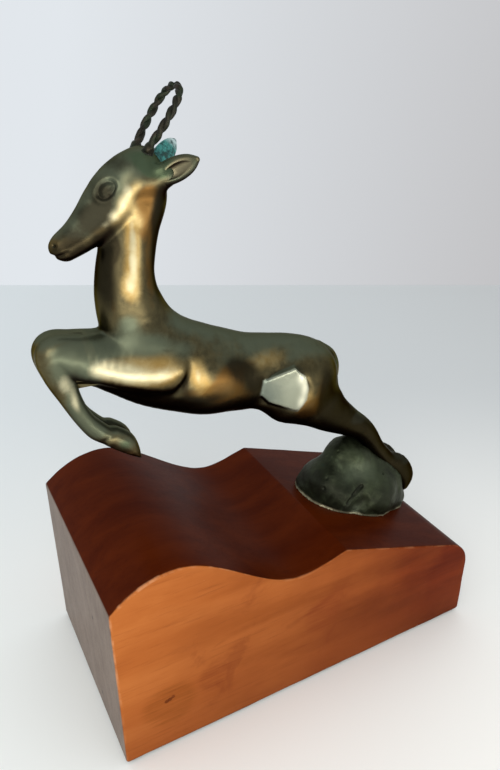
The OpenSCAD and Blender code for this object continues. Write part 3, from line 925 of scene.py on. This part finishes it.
def wood_block():
    """The block: a wave-cut outline swept from front to back, its edges broken unevenly by wear."""
    outline = block_outline()
    n = len(outline)
    half = (BASE_HIGH[1] - BASE_LOW[1]) / 2
    middle = (BASE_HIGH[1] + BASE_LOW[1]) / 2
    ahead = np.roll(outline, -1, 0) - np.roll(outline, 1, 0)
    inward = np.stack([ahead[:, 1], -ahead[:, 0]], 1)
    inward /= np.linalg.norm(inward, axis=1)[:, None]
    at = np.column_stack([outline, np.zeros(n)])
    worn = 0.85 + 0.3 * ripple(at, 40, 31) + 0.15 * ripple(at, 9, 32)
    left = np.clip(1.1 - (outline[:, 0] - X0) / 60, 0, 1) * (outline[:, 1] > 40)
    ease = np.clip(worn + 0.25 * left, 0.5, 1.3)
    none = np.zeros(n)
    # each ring: its y, its inset from the outline, and how bare its edge is rubbed
    front = []
    for a in np.radians(np.linspace(90, 0, 6)):
        front.append((-half + ease * (1 - math.sin(a)), ease * (1 - math.cos(a)),
                      (0.15 + 0.5 * left) * math.sin(2 * a)**0.5))
    back = [(-y, inset, none) for y, inset, _ in front[::-1]]
    across = [(np.full(n, half * part), none, none) for part in (-0.96, -0.8, -0.4, 0, 0.4, 0.8, 0.96)]
    inner_front, inner_back = ((ring[0], ring[1] + 0.3, none) for ring in (front[0], back[-1]))
    rings = [inner_front] + front + across + back + [inner_back]
    verts = []
    for y, inset, _ in rings:
        flat = outline + inward * inset[:, None]
        verts.append(np.column_stack([flat[:, 0], middle + y, flat[:, 1]]))
    faces = ring_faces(len(rings), n) + end_faces(len(rings), n)
    obj = make_object("wood_block", np.concatenate(verts), faces)
    set_attribute(obj, "edge", np.concatenate([bare for _, _, bare in rings]))
    closed(obj)
    drill(obj)
    smooth(obj.data, 35)
    return obj


def drill(obj):
    """Bores and counterbores for the two base screws, as the CAD block has them."""
    washers_low, washers_high = node_box_mm("screw_washers")
    washer_r = (washers_high[1] - washers_low[1]) / 2
    xs = (washers_low[0] + washer_r, washers_high[0] - washer_r)
    tops = (washers_high[2], washers_high[2] - math.tan(SLOPE_ANGLE) * (xs[1] - xs[0]))
    for x, top in zip(xs, tops):
        # the counterbore for head and washer, then the clearance hole for the thread
        for r, low, high in ((washer_r + 0.75, -5, top), (2.8, -5, 100)):
            bm = bmesh.new()
            bmesh.ops.create_cone(bm, cap_ends=True, segments=48, radius1=r * MM, radius2=r * MM,
                                  depth=(high - low) * MM,
                                  matrix=Matrix.Translation(Vector((x, 0, (high + low) / 2)) * MM))
            tool_mesh = bpy.data.meshes.new("drill_bit")
            bm.to_mesh(tool_mesh)
            bm.free()
            tool = place("drill_bit", tool_mesh)
            cut = obj.modifiers.new("bore", "BOOLEAN")
            cut.operation = "DIFFERENCE"
            cut.solver = "EXACT"
            cut.object = tool
            bpy.context.view_layer.objects.active = obj
            bpy.ops.object.modifier_apply(modifier=cut.name)
            bpy.data.objects.remove(tool)


def felt():
    """The felt under the block: rounded, slightly uneven edge."""
    low, high = node_box_mm("felt_pad")
    size = high - low
    corner, points_along, points_across = 2.0, 120, 64
    along, across = (size[axis] * np.arange(n) / n for axis, n in ((0, points_along), (1, points_across)))
    rim = ([(low[0] + s, low[1]) for s in along] + [(high[0], low[1] + s) for s in across]
           + [(high[0] - s, high[1]) for s in along] + [(low[0], high[1] - s) for s in across])
    jitter = np.random.default_rng(3).uniform(0, 0.25, len(rim))
    # each layer: its height as a share of the thickness, and how far its edge is drawn in
    layers = ((0.0, 0.5), (0.25, 0.12), (0.6, 0.0), (0.95, 0.12), (1.0, 0.4))
    verts = []
    for height, inset in layers:
        for (x, y), j in zip(rim, jitter):
            cx, cy = (min(max(v, low[axis] + corner), high[axis] - corner) for axis, v in enumerate((x, y)))
            away = Vector((x - cx, y - cy))
            reach = corner - inset - j
            if x == cx or y == cy:
                reach = min(away.length, reach)
            away = away.normalized() * reach
            verts.append((cx + away.x, cy + away.y, low[2] + size[2] * height))
    n = len(rim)
    return make_object("felt_sheet", verts, ring_faces(len(layers), n) + end_faces(len(layers), n), 50)


# ---------------------------------------------------------------- materials


class Nodes:
    """A shader tree's nodes, written as short calls."""

    def __init__(self, tree):
        self.nodes, self.links = tree.nodes, tree.links

    def put(self, socket, value):
        if isinstance(value, bpy.types.NodeSocket):
            self.links.new(value, socket)
        else:
            socket.default_value = value

    def node(self, kind, inputs=(), **settings):
        made = self.nodes.new("ShaderNode" + kind)
        for key, value in settings.items():
            setattr(made, key, value)
        for key, value in dict(inputs).items():
            self.put(made.inputs[key], value)
        return made

    def math(self, operation, a, b=0.0):
        made = self.node("Math", operation=operation)
        self.put(made.inputs[0], a)
        self.put(made.inputs[1], b)
        return made.outputs[0]

    def times(self, a, b):
        return self.math("MULTIPLY", a, b)

    def plus(self, a, b):
        return self.math("ADD", a, b)

    def minus(self, a, b):
        return self.math("SUBTRACT", a, b)

    def dot(self, a, b):
        return self.node("VectorMath", {0: a, 1: b}, operation="DOT_PRODUCT").outputs["Value"]

    def ramp(self, value, low, high, smooth=True):
        """0 below low, 1 above high."""
        made = self.node("MapRange", {"Value": value, "From Min": low, "From Max": high},
                         interpolation_type="SMOOTHSTEP" if smooth else "LINEAR")
        return made.outputs[0]

    def mix(self, amount, a, b):
        made = self.node("Mix", {"Factor": amount, "A": a, "B": b}, data_type="RGBA")
        return made.outputs["Result"]

    def over(self, color, amount, strength, tint):
        """Lays a tint over a colour, where amount is high."""
        return self.mix(self.times(amount, strength), color, tint)


class Paint(Nodes):
    """A material of Principled paint."""

    def __init__(self, name, **shader):
        self.mat = bpy.data.materials.new(name)
        self.mat.use_nodes = True
        super().__init__(self.mat.node_tree)
        self.shader = self.nodes["Principled BSDF"]
        for key, value in shader.items():
            self.shader.inputs[key.replace("_", " ")].default_value = value
        self.place = self.nodes.new("ShaderNodeTexCoord").outputs["Object"]

    def scaled(self, scale, turn=(0, 0, 0)):
        return self.node("Mapping", {"Vector": self.place, "Scale": scale, "Rotation": turn}).outputs[0]

    def noise(self, scale, detail=4.0, rough=0.55, where=None, distortion=0.0):
        return self.node("TexNoise", {"Vector": where or self.place, "Scale": scale, "Detail": detail,
                                      "Roughness": rough, "Distortion": distortion}).outputs["Fac"]

    def axis(self, index):
        """One coordinate of the place, in metres."""
        return self.node("SeparateXYZ", {"Vector": self.place}).outputs[index]

    def distance(self, at):
        made = self.node("VectorMath", {0: self.place, 1: at}, operation="DISTANCE")
        return made.outputs["Value"]

    def layer(self, name):
        """A value stored on the vertices."""
        return self.node("Attribute", attribute_name=name).outputs["Fac"]

    def normal_axis(self, axis):
        split = self.node("SeparateXYZ", {"Vector": self.node("NewGeometry").outputs["Normal"]})
        return split.outputs[axis]

    def bump(self, height, strength, distance, normal=None):
        inputs = {"Height": height, "Strength": strength, "Distance": distance}
        if normal is not None:
            inputs["Normal"] = normal
        return self.node("Bump", inputs).outputs["Normal"]

    def finish(self, color, roughness, normal=None, metallic=None):
        self.put(self.shader.inputs["Base Color"], color)
        self.put(self.shader.inputs["Roughness"], roughness)
        if normal is not None:
            self.put(self.shader.inputs["Normal"], normal)
        if metallic is not None:
            self.put(self.shader.inputs["Metallic"], metallic)
        return self.mat


def rgb(r, g, b):
    """sRGB 0 to 255 to a linear colour."""
    def lin(c):
        c /= 255
        return c / 12.92 if c <= 0.04045 else ((c + 0.055) / 1.055)**2.4
    return (lin(r), lin(g), lin(b), 1.0)


def bronze_material():
    """Brown-olive patina, worn to gold where hands reach, with painted highlights; grey-green on top from
    dust and a painted reflection; painted shade near black beneath.
    """
    p = Paint("bronze_patina", Specular_Tint=(0.42, 0.40, 0.34, 1.0))
    cloud = p.minus(p.noise(60, 5, 0.6), 0.5)
    blotch = p.minus(p.noise(170, 6, 0.65, distortion=0.5), 0.5)
    fine = p.noise(900, 4, 0.7)
    up = p.normal_axis(2)

    def patch(name, spread, low, high):
        drift = p.plus(p.times(cloud, spread), p.times(blotch, spread))
        return p.ramp(p.plus(p.layer(name), drift), low, high)

    gold = p.mix(p.ramp(cloud, -0.15, 0.2), rgb(146, 119, 68), rgb(180, 161, 114))
    patina = p.mix(p.ramp(blotch, -0.2, 0.25), rgb(62, 58, 42), rgb(90, 82, 58))
    # gold where handling wears the patches and ridges, and where highlights are painted
    worn = p.math("MAXIMUM", patch("rubbed_and_highlight", 0.4, 0.1, 0.95), p.times(p.layer("ridge"), 0.35))
    color = p.mix(worn, patina, gold)
    color = p.over(color, patch("brown", 0.9, 0.35, 1.0), 0.75, rgb(100, 69, 30))
    # grey-green on top: dust, and a painted reflection of the room
    grey = p.math("MAXIMUM", patch("grey", 0.5, 0.3, 0.9), p.ramp(p.plus(up, cloud), 0.35, 0.8))
    color = p.over(color, grey, 0.85, rgb(88, 95, 78))
    color = p.over(color, patch("green", 0.8, 0.3, 0.9), 0.7, rgb(66, 84, 62))
    # painted light: the floor of the ear's cup drawn pale as if lit
    color = p.over(color, p.layer("inside"), 0.7, rgb(142, 130, 102))
    # dark patina, and painted shade
    color = p.over(color, patch("dark", 0.6, 0.25, 0.9), 0.9, rgb(35, 31, 22))
    # painted highlights, drawn cream
    color = p.over(color, patch("pale", 0.4, 0.2, 0.8), 0.85, rgb(194, 187, 154))
    across = p.ramp(p.plus(p.axis(0), p.times(cloud, 0.02)), -0.010, 0.003)
    struck = p.mix(across, rgb(112, 120, 110), rgb(154, 158, 140))
    color = p.over(color, p.layer("flat"), 0.9, struck)
    # painted highlight along the flat's rim
    color = p.mix(p.layer("shine"), color, rgb(226, 224, 200))
    # painted shade: surfaces that face down are drawn near black
    under = p.ramp(p.times(up, -1.0), 0.12, 0.6)
    under = p.times(under, p.minus(0.92, p.times(patch("brown", 0.6, 0.4, 1.0), 0.45)))
    color = p.mix(under, color, rgb(30, 21, 17))
    color = p.over(color, p.layer("hollow"), 0.45, rgb(30, 25, 18))
    color = p.over(color, p.ramp(fine, 0.66, 0.74), 0.3, rgb(40, 34, 24))
    rough = p.plus(0.31, p.times(worn, 0.03))
    rough = p.plus(rough, p.times(grey, 0.05))
    rough = p.plus(rough, p.times(p.minus(fine, 0.5), 0.18))
    normal = p.bump(p.noise(160, 3, 0.5), 0.12, 0.0006)
    normal = p.bump(fine, 0.08, 0.00012, normal)
    return p.finish(color, rough, normal, metallic=p.minus(1.0, p.times(grey, 0.15)))


def rock_material():
    p = Paint("rock_patina", Specular_Tint=(0.5, 0.5, 0.42, 1.0))
    cloud = p.noise(45, 5, 0.6)
    blotch = p.noise(160, 6, 0.65, distortion=0.4)
    fine = p.noise(1200, 4, 0.7)
    color = p.mix(p.ramp(cloud, 0.38, 0.62), rgb(24, 27, 17), rgb(54, 61, 42))
    color = p.over(color, p.ramp(blotch, 0.5, 0.75), 0.6, rgb(78, 88, 66))
    color = p.over(color, p.layer("shade"), 0.9, rgb(26, 28, 20))
    color = p.over(color, p.layer("glint"), 0.4, rgb(96, 104, 86))
    color = p.over(color, p.layer("edge"), 0.8, rgb(186, 180, 150))
    color = p.over(color, p.layer("ridge"), 0.45, rgb(112, 114, 96))
    # painted shade: creases and hollows drawn near black
    color = p.over(color, p.layer("hollow"), 0.8, rgb(20, 20, 15))
    color = p.over(color, p.ramp(p.noise(38, 3), 0.58, 0.7), 0.6, rgb(48, 78, 66))
    rough = p.plus(0.44, p.times(p.minus(blotch, 0.5), 0.4))
    normal = p.bump(blotch, 0.16, 0.0010)
    normal = p.bump(fine, 0.15, 0.0002, normal)
    return p.finish(color, rough, normal, metallic=0.6)


def verdigris_material():
    p = Paint("verdigris_crust")
    crust = p.noise(420, 6, 0.7)
    fine = p.noise(1500, 3, 0.7)
    color = p.mix(p.ramp(crust, 0.4, 0.62), rgb(14, 62, 60), rgb(62, 138, 132))
    color = p.mix(p.ramp(p.noise(260, 4), 0.52, 0.72), color, rgb(30, 62, 54))
    color = p.mix(p.times(p.layer("tip"), p.ramp(crust, 0.3, 0.55)), color, rgb(178, 196, 196))
    normal = p.bump(crust, 0.5, 0.0005)
    normal = p.bump(fine, 0.25, 0.0002, normal)
    return p.finish(color, p.plus(0.45, p.times(crust, 0.3)), normal, metallic=0.25)


def horn_material():
    p = Paint("horn_wire_patina")
    cloud = p.noise(300, 5, 0.6)
    fine = p.noise(2200, 3, 0.7)
    color = p.mix(p.ramp(cloud, 0.35, 0.65), rgb(15, 16, 11), rgb(34, 33, 24))
    color = p.over(color, p.ramp(p.noise(190, 3), 0.42, 0.58), 0.85, rgb(28, 42, 27))
    color = p.over(color, p.ramp(p.noise(150, 3, 0.6, distortion=1.0), 0.56, 0.7), 0.6, rgb(64, 52, 42))
    color = p.over(color, p.layer("ridge"), 0.2, rgb(112, 96, 66))
    normal = p.bump(fine, 0.25, 0.00015)
    return p.finish(color, p.plus(0.38, p.times(cloud, 0.2)), normal, metallic=0.7)


# Stains on the block's front, as (place, radius, strength, colour), and dents in its tall end
MARKS = [
    ((-0.0737, -0.05, 0.0254), 0.015, 0.4, rgb(112, 58, 14)),
    ((-0.0750, -0.05, 0.0283), 0.0013, 0.8, rgb(84, 34, 12)),
    ((-0.0735, -0.05, 0.0288), 0.0013, 0.8, rgb(84, 34, 12)),
    ((-0.0720, -0.05, 0.0296), 0.0011, 0.8, rgb(84, 34, 12)),
    ((-0.052, -0.05, 0.031), 0.010, 0.35, rgb(110, 46, 20)),
    ((0.004, -0.05, 0.040), 0.012, 0.3, rgb(112, 44, 20)),
]
DENTS = [(-0.095, -0.020, 0.0593), (-0.095, -0.0188, 0.012)]


def wood_material():
    """Mahogany under a dark stain: orange-brown long grain in front, darker to the right from stain and
    painted shade; maroon top, painted darker as shade; dull end grain, painted grey for the sheen it shows at
    a low angle.
    """
    p = Paint("varnished_mahogany", Coat_Weight=0.015, Coat_Roughness=0.3, Specular_IOR_Level=0.02)
    lean = (0.0, math.radians(10), 0.0)
    grain = p.noise(1.5, 9, 0.6, where=p.scaled((9.0, 50.0, 50.0), lean), distortion=0.3)
    streaks = p.noise(5.0, 6, 0.7, where=p.scaled((9.0, 170.0, 170.0), lean))
    cloud = p.noise(16, 4, 0.6)
    along = p.axis(0)
    # darker towards the right: partly a darker stain, partly painted shade where the light falls off
    darker_stain_and_shade = p.ramp(p.plus(along, p.times(p.minus(cloud, 0.5), 0.12)), -0.10, 0.085, False)
    light = p.mix(p.ramp(grain, 0.3, 0.7), rgb(160, 88, 39), rgb(174, 102, 50))
    stained_and_shaded = p.mix(p.ramp(grain, 0.3, 0.7), rgb(80, 25, 7), rgb(104, 38, 12))
    front = p.mix(darker_stain_and_shade, light, stained_and_shaded)
    front = p.over(front, p.ramp(streaks, 0.52, 0.7), 0.3, rgb(100, 44, 20))
    front = p.over(front, p.ramp(p.noise(34, 5, 0.6, distortion=0.8), 0.58, 0.68), 0.35, rgb(112, 50, 22))
    front = p.over(front, p.ramp(p.noise(420, 2, 0.5), 0.75, 0.8), 0.35, rgb(200, 150, 112))
    low = p.ramp(p.axis(2), 0.05, 0.0)
    front = p.over(front, low, 0.4, rgb(116, 54, 24))
    for at, reach, depth, tint in MARKS:
        mark = p.times(p.ramp(p.distance(at), reach, 0.6 * reach), p.ramp(streaks, 0.3, 0.6))
        front = p.mix(p.times(mark, depth), front, tint)
    # painted shade: the top is drawn as a darker copy of the front's wood
    top = p.mix(p.ramp(grain, 0.3, 0.7), rgb(62, 17, 1), rgb(78, 27, 3))
    top = p.over(top, p.ramp(streaks, 0.5, 0.7), 0.25, rgb(40, 10, 3))
    color = p.mix(p.ramp(p.math("ABSOLUTE", p.normal_axis(1)), 0.25, 0.75), top, front)
    pores = p.ramp(p.noise(2.2, 7, 0.7, where=p.scaled((50, 50, 20))), 0.3, 0.7)
    # painted reflection: the end grain is drawn grey for its sheen at a low angle
    end = p.mix(pores, rgb(108, 92, 82), rgb(128, 112, 101))
    for at in DENTS:
        end = p.mix(p.ramp(p.distance(at), 0.0011, 0.0006), end, rgb(40, 30, 26))
    color = p.mix(p.ramp(p.times(p.normal_axis(0), -1.0), 0.75, 0.92), color, end)
    chips = p.ramp(p.noise(140, 5, 0.6), 0.42, 0.62)
    color = p.mix(p.times(p.layer("edge"), chips), color, rgb(196, 138, 98))
    # painted shade along the bottom edge, where the block meets the felt
    color = p.over(color, p.layer("painted_bottom_shade"), 0.7, rgb(48, 18, 8))
    rough = p.plus(0.36, p.times(p.minus(streaks, 0.5), 0.25))
    normal = p.bump(streaks, 0.06, 0.00025)
    normal = p.bump(p.noise(60, 2, 0.5), 0.03, 0.0010, normal)
    return p.finish(color, rough, normal)


def felt_material():
    p = Paint("green_felt", Sheen_Weight=0.6, Sheen_Roughness=0.6)
    fibres = p.noise(2500, 4, 0.8)
    color = p.mix(p.ramp(fibres, 0.3, 0.7), rgb(22, 34, 20), rgb(50, 68, 42))
    color = p.mix(p.ramp(p.noise(300, 3), 0.55, 0.75), color, rgb(66, 74, 52))
    return p.finish(color, p.plus(0.85, p.times(fibres, 0.1)), p.bump(fibres, 0.6, 0.0004))


def steel_material():
    p = Paint("zinc_plated_steel")
    cloud = p.noise(400, 4, 0.6)
    scuffs = p.noise(60, 6, 0.7, where=p.scaled((1, 1, 14)))
    color = p.mix(p.ramp(cloud, 0.35, 0.7), rgb(150, 152, 150), rgb(196, 198, 200))
    color = p.over(color, p.ramp(scuffs, 0.6, 0.75), 0.4, rgb(112, 104, 90))
    return p.finish(color, p.plus(0.28, p.times(cloud, 0.2)), p.bump(scuffs, 0.15, 0.0001), metallic=1.0)


def dress(obj, material):
    """Gives an object one material."""
    obj.data.materials.clear()
    obj.data.materials.append(material)


# ---------------------------------------------------------------- building


def settle(obj, node, material):
    """The piece is dressed, rides on the body and stands for its CAD node."""
    dress(obj, material)
    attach(obj, BODY)
    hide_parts(node)


def build_figure(bronze):
    body = make_object("gazelle_casting", *sculpt_figure().mesh(relax=9))
    near, far = seam_split(body)
    for obj, node in ((body, "gazelle_body"), (near, "foreleg_near"), (far, "foreleg_far")):
        for face in obj.data.polygons:
            face.use_smooth = face.use_smooth or len(face.vertices) == 4
        paint_bronze(obj)
        settle(obj, node, bronze)


def build_head_parts(bronze, verdigris, horn_paint):
    near = ear("ear_near_bronze", **EARS["near"])
    paint_bronze(near)
    settle(near, "ear_near", bronze)
    far = ear("ear_far_bronze", **EARS["far"])
    wear(far)
    settle(far, "ear_far", verdigris)
    for side, sign in (("near", -1), ("far", 1)):
        obj = horn(f"horn_{side}_wires", sign)
        wear(obj, gain=4.0, rounds=1)
        settle(obj, f"horn_{side}", horn_paint)
    collars = solder()
    wear(collars)
    settle(collars, "horn_solder", horn_paint)


def build_rock(paint):
    obj = rock()
    wear(obj, gain=7.0, rounds=10)
    verts = vertices_of(obj)
    for name, places in ROCK_TONES.items():
        tone = spots(verts, places)
        set_attribute(obj, name, np.clip(tone + 0.3 * ripple(verts, 7, 23) * tone, 0, 1))
    height = verts[:, 2] - flat_z(verts[:, 0])
    set_attribute(obj, "edge", np.clip(1.7 - height, 0, 1) * (0.7 + 0.5 * ripple(verts, 6, 21)))
    settle(obj, "rock", paint)


def build_base(wood, felt_paint):
    block = wood_block()
    # painted shade along the block's bottom 1.5 mm
    set_attribute(block, "painted_bottom_shade", np.clip(1 - (vertices_of(block)[:, 2] - BASE_LOW[2]) / 1.5, 0, 1))
    settle(block, "wood_base", wood)
    pad = felt()
    settle(pad, "felt_pad", felt_paint)


def dress_hardware(steel):
    for node in ("hoof_pins", "base_screws", "screw_washers"):
        dress(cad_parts[node], steel)


# ---------------------------------------------------------------- stage


CAMERA_AT = Vector((-0.1372, -0.2388, 0.2764))
CAMERA_AZ = math.radians(28.46)
CAMERA_EL = math.radians(26.57)
LENS = 31.48
TABLE_DEPTH = 0.844
ROOM_LIGHT = 0.80
ROOM_GLOW = 1.08


def stage_floor():
    """Pale table top that ends a little way behind the object, as a table does."""
    view_dir = Vector((math.sin(CAMERA_AZ), math.cos(CAMERA_AZ), 0))
    across = Vector((view_dir.y, -view_dir.x, 0))
    far_edge = CAMERA_AT + view_dir * TABLE_DEPTH
    far_edge.z = 0
    corners = [far_edge + across * s - view_dir * t for s, t in ((-3, 0), (3, 0), (3, 4), (-3, 4))]
    mesh = bpy.data.meshes.new("floor")
    mesh.from_pydata([c[:] for c in corners], [], [(0, 1, 2, 3)])
    floor = place("floor", mesh)
    p = Paint("floor_painted_light_falloff")
    # painted light: brighter near the camera and greyer far back, as the light falls off
    side = p.dot(p.place, across)
    far = p.mix(p.ramp(side, -0.3, 0.3, False), rgb(226, 231, 234), rgb(202, 203, 204))
    near = p.mix(p.ramp(side, -0.2, 0.1, False), rgb(240, 243, 242), rgb(253, 251, 247))
    color = p.mix(p.ramp(p.dot(p.place, view_dir), -0.08, 0.3), near, far)
    color = p.over(color, p.noise(3, 3), 0.06, rgb(200, 204, 204))
    dress(floor, p.finish(color, 0.6))


def aim(obj, at, way):
    """Stands a camera or a lamp at a place, looking along way."""
    obj.location = at
    obj.rotation_mode = "QUATERNION"
    obj.rotation_quaternion = Vector(way).to_track_quat("-Z", "Y")


def make_camera():
    data = bpy.data.cameras.new("camera")
    data.lens = LENS
    data.sensor_width = 36.0
    data.clip_start = 0.01
    cam = place("camera", data)
    level = math.cos(CAMERA_EL)
    aim(cam, CAMERA_AT, (math.sin(CAMERA_AZ) * level, math.cos(CAMERA_AZ) * level, -math.sin(CAMERA_EL)))
    bpy.context.scene.camera = cam


def area_light(name, at, towards, size, watts, color):
    """A soft rectangular lamp that lights the scene but isn't seen."""
    data = bpy.data.lights.new(name, "AREA")
    data.shape = "RECTANGLE"
    data.size, data.size_y = size
    data.energy = watts
    data.color = color
    lamp = place(name, data)
    aim(lamp, at, Vector(towards) - Vector(at))
    lamp.visible_camera = False


def light_stage():
    """A pale room, a sunlit stretch of table in front, and a soft window at front left."""
    world = bpy.data.worlds.new("studio")
    bpy.context.scene.world = world
    world.use_nodes = True
    w = Nodes(world.node_tree)
    room = w.nodes["Background"]
    w.put(room.inputs["Color"], (0.80, 0.84, 0.86, 1))
    w.put(room.inputs["Strength"], ROOM_LIGHT)
    glow = w.node("Background", {"Color": (0.80, 0.83, 0.84, 1), "Strength": ROOM_GLOW})
    way = w.node("TexCoord").outputs["Generated"]
    across = w.dot(way, (math.cos(CAMERA_AZ), -math.sin(CAMERA_AZ), -0.15))
    shade = w.mix(w.ramp(across, -0.24, 0.38, False), rgb(226, 231, 236), rgb(196, 196, 198))
    wall = w.node("Background", {"Color": shade})
    path = w.node("LightPath").outputs
    lit = w.node("MixShader", {0: path["Is Diffuse Ray"], 1: room.outputs[0], 2: glow.outputs[0]})
    seen = w.node("MixShader", {0: path["Is Camera Ray"], 1: lit.outputs[0], 2: wall.outputs[0]})
    w.put(w.nodes["World Output"].inputs["Surface"], seen.outputs[0])
    area_light("sunlit_table", (-0.02, -0.55, 0.012), (-0.02, -0.45, 0.5), (0.8, 0.5), 6.8, (1.0, 0.97, 0.91))
    area_light("window", (-0.38, -0.55, 0.42), (-0.05, 0, 0.08), (0.45, 0.45), 2.0, (1.0, 0.96, 0.9))
    bpy.context.scene.view_settings.view_transform = "Standard"


# ---------------------------------------------------------------- run

make_camera()
light_stage()
stage_floor()
BRONZE = bronze_material()
VERDIGRIS = verdigris_material()
build_figure(BRONZE)
build_head_parts(BRONZE, VERDIGRIS, horn_material())
build_rock(rock_material())
build_base(wood_material(), felt_material())
dress_hardware(steel_material())
